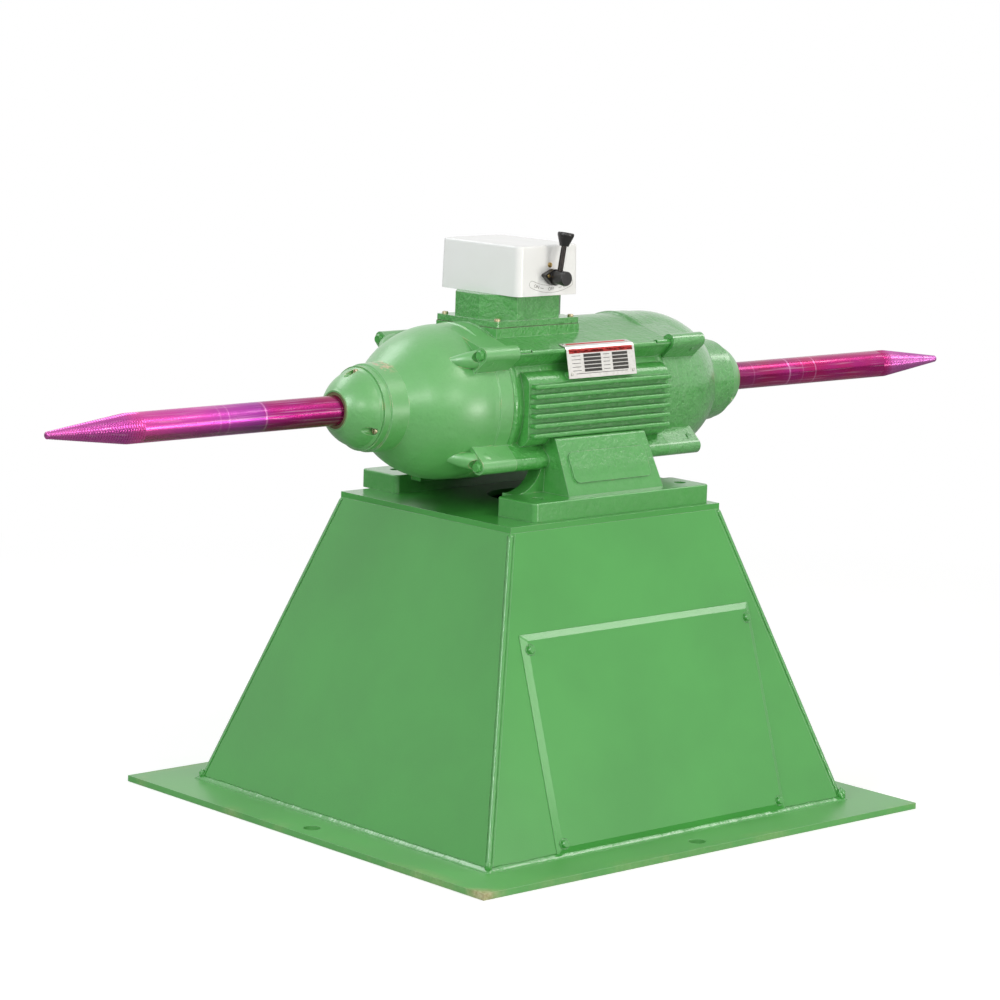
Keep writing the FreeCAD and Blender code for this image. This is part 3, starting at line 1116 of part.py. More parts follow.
def build():
    os.makedirs("parts", exist_ok=True)
    left_wall, right_wall, front, back = pedestal_walls()
    save("base_plate", base_plate(), False)
    save("left_wall", left_wall, False)
    save("right_wall", right_wall, False)
    save("front_wall", front_wall(front), False)
    save("back_wall", back, False)
    save("top_plate", top_plate(), False)
    save("access_panel", access_panel(), False)
    for name, group in zip(("panel_bolts", "panel_washers", "panel_weld_nuts"), panel_fasteners()):
        save(name, group, False)

    save("motor_frame", motor_frame())
    save("stator_core", stator_core())
    save("stator_winding", stator_winding())
    bell, screws, cap, seal = end_bell(), cover_screws(), inner_cap(), shaft_seal()
    outer_ring, inner_ring = bearing_rings()
    balls, cage, bolts = bearing_balls(), bearing_cage(), bell_bolts()
    covers = {"left": bearing_cover(BEARING_END_X + SOFT_GAP),
              "right": bearing_cover(BEARING_END_X + 2 * SOFT_GAP + PRELOAD_WASHER)}
    pieces = {"end_bell": bell, "bell_bolts": bolts, "cover_screws": screws, "inner_cap": cap,
              "shaft_seal": seal, "bearing_outer_ring": outer_ring, "bearing_inner_ring": inner_ring,
              "bearing_balls": balls, "bearing_cage": cage}
    for side in ("left", "right"):
        place = other_end if side == "left" else moved
        for name, piece in pieces.items():
            save(side + "_" + name, place(piece))
        save(side + "_bearing_cover", place(covers[side]))
    save("preload_washer", preload_washer())

    save("spindle_shaft", spindle_shaft())
    save("rotor_core", rotor_core())
    save("rotor_end_rings", rotor_end_rings())
    save("rotor_key", rotor_key())

    save("terminal_body", terminal_body())
    save("terminal_gasket", terminal_gasket())
    save("terminal_body_screws", flange_screws())
    save("terminal_block", terminal_block())
    save("terminal_studs", terminal_studs())

    save("switch_base_plate", switch_base_plate())
    save("switch_base_screws", base_screws())
    save("switch_cover", switch_cover())
    save("switch_cover_screw", brass_cover_screw())
    save("contact_block", contact_block())
    save("contact_fingers", contact_fingers())
    save("switch_drum", switch_drum())
    save("handle_hub", handle_hub())
    save("handle_rod", handle_rod())
    save("handle_knob", handle_knob())
    save("handle_end_cap", handle_end_cap())
    save("handle_grub_screw", handle_grub_screw())
    save("rating_plate", rating_plate())
    save("rating_plate_rivets", rating_plate_rivets())


build()
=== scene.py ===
"""Dresses the pedestal buffing machine: enamel, castings, spindles, switch, plate, welds and stage."""

import math
from functools import partial

import bmesh
import bpy
from bpy.props import FloatProperty, FloatVectorProperty, IntProperty, PointerProperty
from mathutils import Matrix, Vector, noise
from mathutils.bvhtree import BVHTree


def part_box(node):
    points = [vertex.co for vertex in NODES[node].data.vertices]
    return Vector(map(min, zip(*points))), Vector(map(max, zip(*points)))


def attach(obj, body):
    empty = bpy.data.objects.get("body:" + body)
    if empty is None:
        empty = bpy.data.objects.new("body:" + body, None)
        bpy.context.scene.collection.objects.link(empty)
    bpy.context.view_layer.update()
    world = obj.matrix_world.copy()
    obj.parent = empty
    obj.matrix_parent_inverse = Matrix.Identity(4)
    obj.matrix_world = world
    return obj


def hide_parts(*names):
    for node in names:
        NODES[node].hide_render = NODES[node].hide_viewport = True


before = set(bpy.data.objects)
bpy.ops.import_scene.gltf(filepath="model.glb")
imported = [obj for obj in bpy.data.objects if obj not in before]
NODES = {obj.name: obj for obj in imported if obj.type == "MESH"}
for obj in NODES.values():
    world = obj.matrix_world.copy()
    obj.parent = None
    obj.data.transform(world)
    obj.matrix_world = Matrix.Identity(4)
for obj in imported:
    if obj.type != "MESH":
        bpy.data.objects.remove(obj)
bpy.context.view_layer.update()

bl_info = {
    "name": "Pedestal buffing machine",
    "version": (1, 0, 0),
    "blender": (4, 5, 0),
    "location": "View3D > Sidebar > Buffing machine",
    "description": "Finishes, welds, threads and printing for a pedestal buffing machine",
    "category": "Object",
}

MM = 0.001
# Places and sizes, in millimetres where the name doesn't say otherwise
AXIS = Vector((0, 15, 565))
PRINT_LIFT = 0.12

# Spindle: the CAD shaft's sections from the middle outwards, and its tapered point
CORE_R, CORE_END, CORE_CHAMFER = 26.0, 74.0, 2.0
INNER_R, INNER_END = 24.0, 296.0
SEAT_R, SEAT_END = 20.0, 367.5
RELIEF_R, RELIEF_WIDTH = 19.3, 2.0
SPINDLE_R, TAPER_START = 19.9, 703.0
TIP_R, TIP_ROUNDING = 4.9, 1.5
NOSE = ((0.4, 4.1), (0.0, 3.1))
STEP = 0.01
STATIONS_PER_TURN = 6
FILM_HALF = 830.0

# Welds: for each point round the fillet, its way out by a share of the bead and by millimetres, its way
# up the wall by a share and by millimetres, and its lift
FILLET_PROFILE = ((0, -1.5, 0, 0, -1), (1, 0, 0, 0, -0.4), (0.97, 0, 0, 0, 0.3), (0.62, 0.35, 0.36, 0.35, 0),
                  (0.3, 0.3, 0.7, 0.3, 0), (0, 0.25, 1, 0, 0))
FILLET_STEP, CORNER_STEP = 2.2, 2.6
CORNER_CROWN, CORNER_EDGE, CORNER_ROOT, CORNER_SHOULDER = 0.75, 0.25, 1.5, 0.55
RIPPLE_SHARE = 0.05
LUMP_RISE, LUMP_OUT = 7.0, 0.5
LUMP_SIZE, BIG_LUMP_SIZE, BIG_LUMP = (4.5, 4.5, 7), (6.5, 6.5, 10.5), 1

# The castings: the height that the machined feet and webs end at, and the rubbed patch on top of the left
# bearing housing, by its middle, its half sizes and the heights that it fades in between
MACHINED_BELOW = 478.0
SCUFF_MIDDLE, SCUFF_HALF = (-297.0, 9.0), (11.0, 26.0)
SCUFF_LOW, SCUFF_HIGH = 610.0, 617.0

# Rating plate: the band, and the rows of fields from the plate's left end and its bend
NOSE_DROP, BEND_R = 38.5, 5.0
BAND_MARGIN, BAND_COLUMNS = 4.0, 24
FIELD_ROWS, FIRST_ROW, ROW_PITCH, FIELD_HEIGHT = 5, 7.0, 4.9, 3.9
DARK_FIELDS = ((30, 62), (83, 112))
RULE_LINES = ((8, 24), (66, 78))
RULE_DROP, RULE_HEIGHT = 1.5, 0.7
LAST_RULE = (14, 32.2, 110, 32.9)

# Switch scale, on an arc about a point above it
SCALE_CENTRE_X, SCALE_BOTTOM_Z = -59.0, 714.5
SCALE_R, SCALE_BAND, SCALE_LINE, SCALE_LIFT = 93.0, 9.6, 0.45, 0.1
SCALE_SPREAD = math.radians(23.5)
SCALE_STEPS, CAP_STEPS = 40, 12
DASH_ANGLES, DASH_HALF, DASH_ABOVE, DASH_BELOW = (-11.0, 11.0), 2.0, 0.3, 0.4
WORD_SIZE, WORD_THICKNESS = 6.2, 0.03
WORDS = (("switch_word_left", "ON", -17.5), ("switch_word_middle", "OFF", 0.0),
         ("switch_word_right", "ON", 17.5))

# Stage: half the floor's side, its gap under the machine, and the point that the lamps face, in metres
FLOOR_HALF_M, FLOOR_GAP_M = 60.0, 0.0005
LAMP_TARGET_M = Vector((0, 0, 0.42))

# Camera, fitted to the photograph
CAMERA_PLACE_M = (-3.2462, -3.5218, 1.1879)
CAMERA_AZIMUTH, CAMERA_ELEVATION, CAMERA_ROLL = (math.radians(angle) for angle in (41.94, 9.17, 1.71))
FOCAL_PIXELS, PICTURE_PIXELS, SENSOR_MM = 3495.1, 1000, 36


def colour(code):
    """A linear RGBA colour from an sRGB hex code."""
    parts = [int(code[k:k + 2], 16) / 255 for k in (1, 3, 5)]
    return tuple(p / 12.92 if p <= 0.04045 else ((p + 0.055) / 1.055) ** 2.4 for p in parts) + (1.0,)


def shaded(tone, factor, veil=0.0):
    """A linear colour made darker or lighter, under a white veil."""
    return tuple(min(1.0, c * factor * (1 - veil) + veil) for c in tone[:3]) + (1.0,)


def fill(node, inputs):
    """Sets a node's inputs, each to a value or to a link."""
    for name, value in dict(inputs).items():
        if isinstance(value, bpy.types.NodeSocket):
            node.id_data.links.new(value, node.inputs[name])
        else:
            node.inputs[name].default_value = value


def add_node(tree, kind, inputs=(), output=0, **settings):
    """One shader node of a kind, with its settings and inputs; gives the output to carry on with."""
    node = tree.nodes.new("ShaderNode" + kind)
    for name, value in settings.items():
        setattr(node, name, value)
    fill(node, inputs)
    return node.outputs[output]


def new_finish(name):
    """A material, its shader, add_node for its tree, and the piece's coordinates in metres."""
    material = bpy.data.materials.new(name)
    material.use_nodes = True
    node = partial(add_node, material.node_tree)
    return material, material.node_tree.nodes["Principled BSDF"], node, node("TexCoord", output="Object")


def spots(node, place, size_mm, low, high, detail=3.0, stretch=(1, 1, 1)):
    """A soft 0 to 1 mask of noise whose features are size_mm across, cut between low and high."""
    if stretch != (1, 1, 1):
        place = node("Mapping", {"Vector": place, "Scale": stretch})
    cloud = node("TexNoise", {"Vector": place, "Scale": 1000 / size_mm, "Detail": detail, "Roughness": 0.55})
    return node("MapRange", {"Value": cloud, "From Min": low, "From Max": high})


def rounded_edges(node, radius_mm):
    """The normal rounded over the edges, and a mask that is 1 on them."""
    rounded = node("Bevel", {"Radius": radius_mm * MM}, samples=6)
    true = node("NewGeometry", output="Normal")
    dot = node("VectorMath", {0: rounded, 1: true}, "Value", operation="DOT_PRODUCT")
    return rounded, node("MapRange", {"Value": dot, "From Min": 0.995, "From Max": 0.9})


def away_from(node, value, middle_mm):
    """How far a coordinate in metres lies from a place in millimetres."""
    off = node("Math", {0: value, 1: middle_mm * MM}, operation="SUBTRACT")
    return node("Math", {0: off}, operation="ABSOLUTE")


def relief(node, normal, layers):
    """Bumps laid over each other; each layer is (height socket, depth in mm)."""
    for height, depth_mm in layers:
        normal = node("Bump", {"Height": height, "Normal": normal, "Distance": depth_mm * MM})
    return normal


def enamel_finish(name, casting, edge_mm, wear=None, roughness=0.3, tone=None, gloss=0.5, blur=0.12,
                  calm_mm=0):
    """Sprayed gloss enamel; casting says how much of the sand grain shows through, in lumps and pits.

    Below the height calm_mm the casting was machined, and shows little of its grain."""
    material, shader, node, place = new_finish(name)
    settings = bpy.context.scene.buffer_enamel
    shade = tone or tuple(settings.shade) + (1,)
    normal, edges = rounded_edges(node, edge_mm)
    cloud = spots(node, place, 160, 0.35, 0.65)
    body = node("Mix", {0: cloud, 6: shaded(shade, 0.95), 7: shaded(shade, 1.05)}, 2, data_type="RGBA")
    layers = [(spots(node, place, 60, 0.0, 1.0, 0.0), 0.2),
              (spots(node, place, settings.peel_size, 0.0, 1.0, 0.0), 0.06)]
    if casting:
        size = settings.grain_size
        lumps = spots(node, place, size * 4.5, 0.2, 0.8, 2.0)
        pits = node("TexVoronoi", {"Vector": place, "Scale": 1000 / (size * 2.2), "Smoothness": 0.7},
                    "Distance", feature="SMOOTH_F1")
        grain = spots(node, place, size, 0.2, 0.8, 2.0)
        layers = [(spots(node, place, size * 13, 0.1, 0.9), 2.2 * casting), (lumps, 1.3 * casting),
                  (pits, 0.8 * casting), (grain, 0.4 * casting)]
        if calm_mm:
            height = node("SeparateXYZ", {0: place}, 2)
            rough_zone = node("MapRange", {"Value": height, "From Min": (calm_mm - 5) * MM,
                                           "From Max": (calm_mm + 5) * MM, "To Min": 0.2, "To Max": 1.0})
            layers = [(node("Math", {0: layer, 1: rough_zone}, operation="MULTIPLY"), depth)
                      for layer, depth in layers]
        # painted shade: the pits are painted a deep green, where shade gathers in them
        deep = node("MapRange", {"Value": pits, "From Min": 0.25, "From Max": 0.0,
                                 "To Max": settings.pit_painted_shade * casting})
        body = node("Mix", {0: deep, 6: body, 7: shaded(shade, 0.55)}, 2, data_type="RGBA")
        # painted highlight: the lumps are painted paler under a white veil, where light catches them
        high = node("Math", {0: lumps, 1: 0.14 * casting}, operation="MULTIPLY")
        body = node("Mix", {0: high, 6: body, 7: shaded(shade, 1.1, 0.25)}, 2, data_type="RGBA")
    # painted highlight: the enamel is painted paler over the edges, where light catches them
    thin = node("Math", {0: edges, 1: settings.edge_highlight}, operation="MULTIPLY")
    body = node("Mix", {0: thin, 6: body, 7: shaded(shade, 1.1, 0.35)}, 2, data_type="RGBA")
    rough = node("Math", {0: cloud, 1: 0.05, 2: roughness}, operation="MULTIPLY_ADD")
    if wear:
        # rubbed or knocked through to the primer and to the rust
        mask = wear(node, place, edges)
        bare = node("Mix", {0: spots(node, place, 5, 0.35, 0.65), 6: colour("#B08D66"),
                            7: colour("#D5C8A2")}, 2, data_type="RGBA")
        body = node("Mix", {0: mask, 6: body, 7: bare}, 2, data_type="RGBA")
        rough = node("Math", {0: mask, 1: 0.3, 2: rough}, operation="MULTIPLY_ADD")
    fill(shader, {"Base Color": body, "Roughness": rough, "Normal": relief(node, normal, layers),
                  "Coat Weight": gloss, "Coat Roughness": blur, "Coat IOR": 1.7 if casting else 1.5})
    return material


def metal_finish(name, code, roughness, stain="#5A4A38", stained=0.15, lines=(1, 1, 1), metallic=1.0,
                 grain_mm=1.2):
    """A bare or plated metal with fine scratches or turned lines, and stains in patches."""
    material, shader, node, place = new_finish(name)
    normal, edges = rounded_edges(node, 0.3)
    patches = node("Math", {0: spots(node, place, 5, 0.5, 0.68), 1: stained}, operation="MULTIPLY")
    body = node("Mix", {0: patches, 6: colour(code), 7: colour(stain)}, 2, data_type="RGBA")
    worn = node("Math", {0: edges, 1: 0.25}, operation="MULTIPLY")
    body = node("Mix", {0: worn, 6: body, 7: colour("#E8E4DC")}, 2, data_type="RGBA")
    height = spots(node, place, grain_mm, 0.3, 0.7, 2.0, lines)
    rough = node("Math", {0: height, 1: 0.12, 2: roughness}, operation="MULTIPLY_ADD")
    fill(shader, {"Base Color": body, "Roughness": rough, "Normal": relief(node, normal, [(height, 0.012)]),
                  "Metallic": metallic})
    return material


def moulded_finish(name, code, roughness, grain_mm=0.8, depth_mm=0.012, second=None, edge_mm=0.5, dusty=0.08):
    """A moulded or coated surface, with a fine grain, faint mottling and dust."""
    material, shader, node, place = new_finish(name)
    normal, edges = rounded_edges(node, edge_mm)
    mottle = spots(node, place, 60, 0.3, 0.7)
    body = node("Mix", {0: mottle, 6: colour(code), 7: colour(second or code)}, 2, data_type="RGBA")
    dust = node("Math", {0: spots(node, place, 2.0, 0.66, 0.74), 1: dusty}, operation="MULTIPLY")
    body = node("Mix", {0: dust, 6: body, 7: colour("#8F8C86")}, 2, data_type="RGBA")
    height = spots(node, place, grain_mm, 0.3, 0.7, 2.0)
    rough = node("Math", {0: mottle, 1: 0.02, 2: roughness}, operation="MULTIPLY_ADD")
    fill(shader, {"Base Color": body, "Roughness": rough,
                  "Normal": relief(node, normal, [(height, depth_mm)])})
    return material


def both(*names):
    """The left and the right piece of each name."""
    return [side + name for side in ("left_", "right_") for name in names]


def paint(material, *names):
    """Gives a finish to carried-over pieces."""
    for name in names:
        slots = NODES[name].data.materials
        slots.clear()
        slots.append(material)
        for polygon in NODES[name].data.polygons:
            polygon.material_index = 0


def new_piece(name, vertices, faces, material, body, smooth=True):
    """A mesh piece from points in millimetres, with its finish, riding on a body."""
    mesh = bpy.data.meshes.new(name)
    mesh.from_pydata([Vector(v) * MM for v in vertices], [], faces)
    work = bmesh.new()
    work.from_mesh(mesh)
    bmesh.ops.recalc_face_normals(work, faces=work.faces)
    work.to_mesh(mesh)
    work.free()
    if smooth:
        mesh.polygons.foreach_set("use_smooth", [True] * len(mesh.polygons))
    mesh.materials.append(material)
    piece = bpy.data.objects.new(name, mesh)
    bpy.context.scene.collection.objects.link(piece)
    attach(piece, body)
    return piece


def skin(rings, closed_loop=False):
    """Vertices and faces that join equal rings of points in a row, capped unless the row is a loop."""
    size = len(rings[0])
    vertices = [point for ring in rings for point in ring]
    faces = []
    count = len(rings)
    for k in range(count if closed_loop else count - 1):
        here, there = k * size, ((k + 1) % count) * size
        faces += [(here + i, here + (i + 1) % size, there + (i + 1) % size, there + i) for i in range(size)]
    if not closed_loop:
        faces += [tuple(range(size))[::-1], tuple(range((count - 1) * size, count * size))]
    return vertices, faces


def box_mm(name):
    """A node's lowest and highest corners in millimetres."""
    low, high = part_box(name)
    return low / MM, high / MM


def surface_of(name):
    """A tree for casting rays at a carried-over piece, in millimetres."""
    mesh = NODES[name].data
    faces = [tuple(polygon.vertices) for polygon in mesh.polygons]
    return BVHTree.FromPolygons([vertex.co / MM for vertex in mesh.vertices], faces)


def laid_on(tree, point, toward, lift):
    """Where a ray through point meets the surface, raised by lift."""
    toward = Vector(toward).normalized()
    hit, normal, _, _ = tree.ray_cast(Vector(point) - toward * 60, toward)
    if hit is None:
        raise ValueError(f"no surface under {tuple(point)}")
    if normal.dot(toward) > 0:
        normal = -normal
    return hit + normal * lift


class EnamelSettings(bpy.types.PropertyGroup):
    shade: FloatVectorProperty(name="Enamel", description="Green of the sprayed enamel", subtype="COLOR",
                               size=3, default=colour("#449C42")[:3], min=0, max=1)
    peel_size: FloatProperty(name="Peel size", description="Width of an orange peel cell, in millimetres",
                             default=2.6, min=0.5)
    grain_size: FloatProperty(name="Sand grain", description="Width of the casting's grain, in millimetres",
                              default=2.0, min=0.5)
    # painted shade: how much darker the casting's pits are painted
    pit_painted_shade: FloatProperty(name="Pit shade", description="How deep the green is in the casting's pits",
                             default=0.6, min=0, max=1, subtype="FACTOR")
    # painted highlight: how much paler the enamel is painted over edges
    edge_highlight: FloatProperty(name="Edge paleness", description="How pale the enamel is over edges",
                                 default=0.45, min=0, max=1, subtype="FACTOR")


class SpindleSettings(bpy.types.PropertyGroup):
    shade: FloatVectorProperty(name="Film", description="Pink of the film on the spindles", subtype="COLOR",
                               size=3, default=colour("#D63AA0")[:3], min=0, max=1)
    thread_pitch: FloatProperty(name="Thread pitch", description="Distance between grooves", unit="LENGTH",
                                default=3.8 * MM, min=0.001)
    thread_depth: FloatProperty(name="Thread depth", description="Depth of the grooves", unit="LENGTH",
                                default=1.1 * MM, min=0)
    thread_run: FloatProperty(name="Thread run", description="Length of thread on the straight part",
                              unit="LENGTH", default=20 * MM, min=0)
    sides: IntProperty(name="Sides", description="Points round the spindle", default=56, min=12)


class WeldSettings(bpy.types.PropertyGroup):
    fillet_leg: FloatProperty(name="Fillet leg", description="Leg of the weld along the base", unit="LENGTH",
                              default=5.6 * MM, min=0.001)
    corner_half: FloatProperty(name="Corner bead", description="Half width of the beads up the corners",
                               unit="LENGTH", default=5.5 * MM, min=0.001)
    ripple: FloatProperty(name="Ripple", description="Distance between ripples in a bead", unit="LENGTH",
                          default=6 * MM, min=0.001)


class StageSettings(bpy.types.PropertyGroup):
    floor: FloatVectorProperty(name="Floor", description="Pale floor under the machine", subtype="COLOR",
                               size=3, default=(0.62, 0.62, 0.61), min=0, max=1)
    floor_glow: FloatProperty(name="Floor glow", description="How much whiter the floor looks than it is",
                              default=0.55, min=0)
    key_power: FloatProperty(name="Key light", description="Power of the main soft light", default=32,
                             min=0, unit="POWER")
    front_power: FloatProperty(name="Front light", description="Power of the light in front", default=17,
                               min=0, unit="POWER")
    low_power: FloatProperty(name="Low light", description="Power of the low light on the right", default=28,
                             min=0, unit="POWER")
    near_power: FloatProperty(name="Near light", description="Power of the light beside the camera",
                              default=17, min=0, unit="POWER")
    right_power: FloatProperty(name="Right light", description="Power of the light above on the right",
                               default=14, min=0, unit="POWER")
    fill_power: FloatProperty(name="Fill light", description="Power of the light from the left", default=58,
                              min=0, unit="POWER")
    top_power: FloatProperty(name="Top light", description="Power of the light behind and above", default=30,
                             min=0, unit="POWER")
    sky: FloatProperty(name="Surroundings", description="Strength of the even light", default=0.27, min=0)


class BUFFER_OT_stage(bpy.types.Operator):
    """Lays the floor and sets the lamps, the even light and the camera"""
    bl_idname = "buffer.stage"
    bl_label = "Stage"

    def execute(self, context):
        settings = context.scene.buffer_stage
        half = FLOOR_HALF_M
        corners = [(-half, -half, 0), (half, -half, 0), (half, half, 0), (-half, half, 0)]
        mesh = bpy.data.meshes.new("studio_floor")
        mesh.from_pydata(corners, [], [(0, 1, 2, 3)])
        floor = bpy.data.objects.new("studio_floor", mesh)
        floor.location.z = -FLOOR_GAP_M
        context.scene.collection.objects.link(floor)
        # painted studio floor: matt white to the eye, greyer as a mirror image so that undersides stay deep
        material, shader, node, place = new_finish("matt floor paint")
        camera, glossy = (node("LightPath", output=f"Is {ray} Ray") for ray in ("Camera", "Glossy"))
        pale = node("Mix", {0: spots(node, place, 900, 0.3, 0.7), 6: tuple(settings.floor) + (1,),
                            7: shaded(settings.floor, 0.985)}, 2, data_type="RGBA")
        shade = node("Mix", {0: glossy, 6: pale, 7: colour("#A5A6A5")}, 2, data_type="RGBA")
        fill(shader, {"Base Color": shade, "Roughness": 0.9})
        # away from the machine the floor runs out into the white surroundings
        away = node("VectorMath", {0: place}, "Value", operation="LENGTH")
        far = node("MapRange", {"Value": away, "From Min": 0.9, "From Max": 2.2})
        glow = node("MapRange", {"Value": far, "To Min": settings.floor_glow, "To Max": 1.0})
        glow = node("Emission", {"Strength": node("Math", {0: camera, 1: glow}, operation="MULTIPLY")})
        near_floor = node("AddShader", {0: shader.outputs[0], 1: glow})
        hidden = node("Math", {0: camera, 1: far}, operation="MULTIPLY")
        surface = node("MixShader", {0: hidden, 1: near_floor, 2: glow})
        fill(material.node_tree.nodes["Material Output"], {"Surface": surface})
        mesh.materials.append(material)

        for name, place_m, size, power, tint in (
                ("key_light", (0.9, -2.4, 3.3), (0.8, 0.6), settings.key_power, (1.0, 0.97, 0.90)),
                ("front_light", (-0.5, -3.9, 1.7), (0.9, 1.1), settings.front_power, (1.0, 0.98, 0.94)),
                ("low_light", (1.2, -3.3, 0.32), (1.1, 0.5), settings.low_power, (1.0, 0.98, 0.94)),
                ("right_light", (2.4, -0.9, 2.8), (1.0, 0.8), settings.right_power, (1.0, 0.99, 0.96)),
                ("near_light", (-2.5, -2.7, 1.75), (0.8, 0.6), settings.near_power, (1.0, 0.99, 0.97)),
                ("fill_light", (-3.8, -0.6, 2.2), (1.2, 1.4), settings.fill_power, (0.95, 0.98, 1.0)),
                ("top_light", (-0.8, 2.2, 3.0), (2.2, 1.2), settings.top_power, (0.96, 0.98, 1.0))):
            lamp = bpy.data.lights.new(name, "AREA")
            lamp.shape, lamp.size, lamp.size_y, lamp.energy, lamp.color = "RECTANGLE", *size, power, tint
            holder = bpy.data.objects.new(name, lamp)
            holder.location = place_m
            holder.rotation_euler = (LAMP_TARGET_M - Vector(place_m)).to_track_quat("-Z", "Y").to_euler()
            context.scene.collection.objects.link(holder)

        world = bpy.data.worlds.new("white surroundings")
        world.use_nodes = True
        node = partial(add_node, world.node_tree)
        straight = 0.0
        for ray in ("Camera", "Transmission", "Glossy"):
            seen = node("LightPath", output=f"Is {ray} Ray")
            straight = node("Math", {0: straight, 1: seen}, operation="MAXIMUM")
        strength = node("MapRange", {"Value": straight, "To Min": settings.sky, "To Max": 1.0})
        fill(world.node_tree.nodes["Background"], {"Color": (1, 1, 1, 1), "Strength": strength})
        context.scene.world = world

        level_reach = math.cos(CAMERA_ELEVATION)
        forward = Vector((math.sin(CAMERA_AZIMUTH) * level_reach, math.cos(CAMERA_AZIMUTH) * level_reach,
                          -math.sin(CAMERA_ELEVATION)))
        level = Vector((math.cos(CAMERA_AZIMUTH), -math.sin(CAMERA_AZIMUTH), 0))
        above = level.cross(forward)
        right = level * math.cos(CAMERA_ROLL) + above * math.sin(CAMERA_ROLL)
        up = above * math.cos(CAMERA_ROLL) - level * math.sin(CAMERA_ROLL)
        camera = bpy.data.cameras.new("photo_camera")
        camera.sensor_width, camera.sensor_fit = SENSOR_MM, "HORIZONTAL"
        camera.lens = FOCAL_PIXELS * SENSOR_MM / PICTURE_PIXELS
        camera.clip_end = 100
        holder = bpy.data.objects.new("photo_camera", camera)
        turn = Matrix((right, up, -forward)).transposed().to_4x4()
        holder.matrix_world = Matrix.Translation(CAMERA_PLACE_M) @ turn
        context.scene.collection.objects.link(holder)
        context.scene.camera = holder
        context.scene.view_settings.view_transform = "Standard"
        return {"FINISHED"}


def chips(size_mm, amount):
    """Small chips in the enamel along the edges."""
    def wear(node, place, edges):
        marks = node("Math", {0: edges, 1: spots(node, place, size_mm, 0.64, 0.7)}, operation="MULTIPLY")
        return node("Math", {0: marks, 1: amount}, operation="MULTIPLY")
    return wear


class BUFFER_OT_pedestal(bpy.types.Operator):
    """Gives the pedestal's plates and the panel's bolts their sprayed enamel"""
    bl_idname = "buffer.pedestal"
    bl_label = "Pedestal enamel"

    def execute(self, context):
        low, high = box_mm("base_plate")
        centre, half = (low + high) / 2, (high - low) / 2

        def plate_scuffs(node, place, edges):
            """Rubbed patches on the plate's rim, most of them at its corners."""
            apart = [node("SeparateXYZ", {0: place}, axis) for axis in (0, 1)]
            reach = [node("Math", {0: half[axis] * MM, 1: away_from(node, apart[axis], centre[axis])},
                          operation="SUBTRACT") for axis in (0, 1)]
            border = node("Math", {0: reach[0], 1: reach[1]}, operation="MINIMUM")
            corner = node("Math", {0: reach[0], 1: reach[1]}, operation="ADD")
            near_border = node("MapRange", {"Value": border, "From Min": 22 * MM, "From Max": 4 * MM,
                                            "To Max": 0.22})
            near_corner = node("MapRange", {"Value": corner, "From Min": 50 * MM, "From Max": 15 * MM,
                                            "To Max": 0.75})
            near = node("Math", {0: near_border, 1: near_corner}, operation="MAXIMUM")
            return node("Math", {0: near, 1: spots(node, place, 80, 0.45, 0.65, 5.0)}, operation="MULTIPLY")

        # alkyd enamel over welded sheet steel, sprayed: gloss with an orange peel skin
        paint(enamel_finish("gloss enamel on sheet steel", 0, 0.9, chips(7, 0.6), 0.3),
              "front_wall", "back_wall", "left_wall", "right_wall", "top_plate", "access_panel")
        # the same enamel on the floor plate, painted paler than the walls' green as a painted reflection of
        # the bright surroundings on its top; boots and trolleys rub it to beige primer
        paint(enamel_finish("scuffed gloss enamel on steel plate", 0, 0.9, plate_scuffs, 0.42,
                            colour("#5CA857"), 0.35, 0.3), "base_plate")
        # bolts sprayed over with the panel: the enamel softens their corners
        paint(enamel_finish("enamelled bolt steel", 0.2, 0.6, chips(3, 0.5), 0.2), "panel_bolts",
              "panel_washers", "panel_weld_nuts", *both("bell_bolts"))
        return {"FINISHED"}


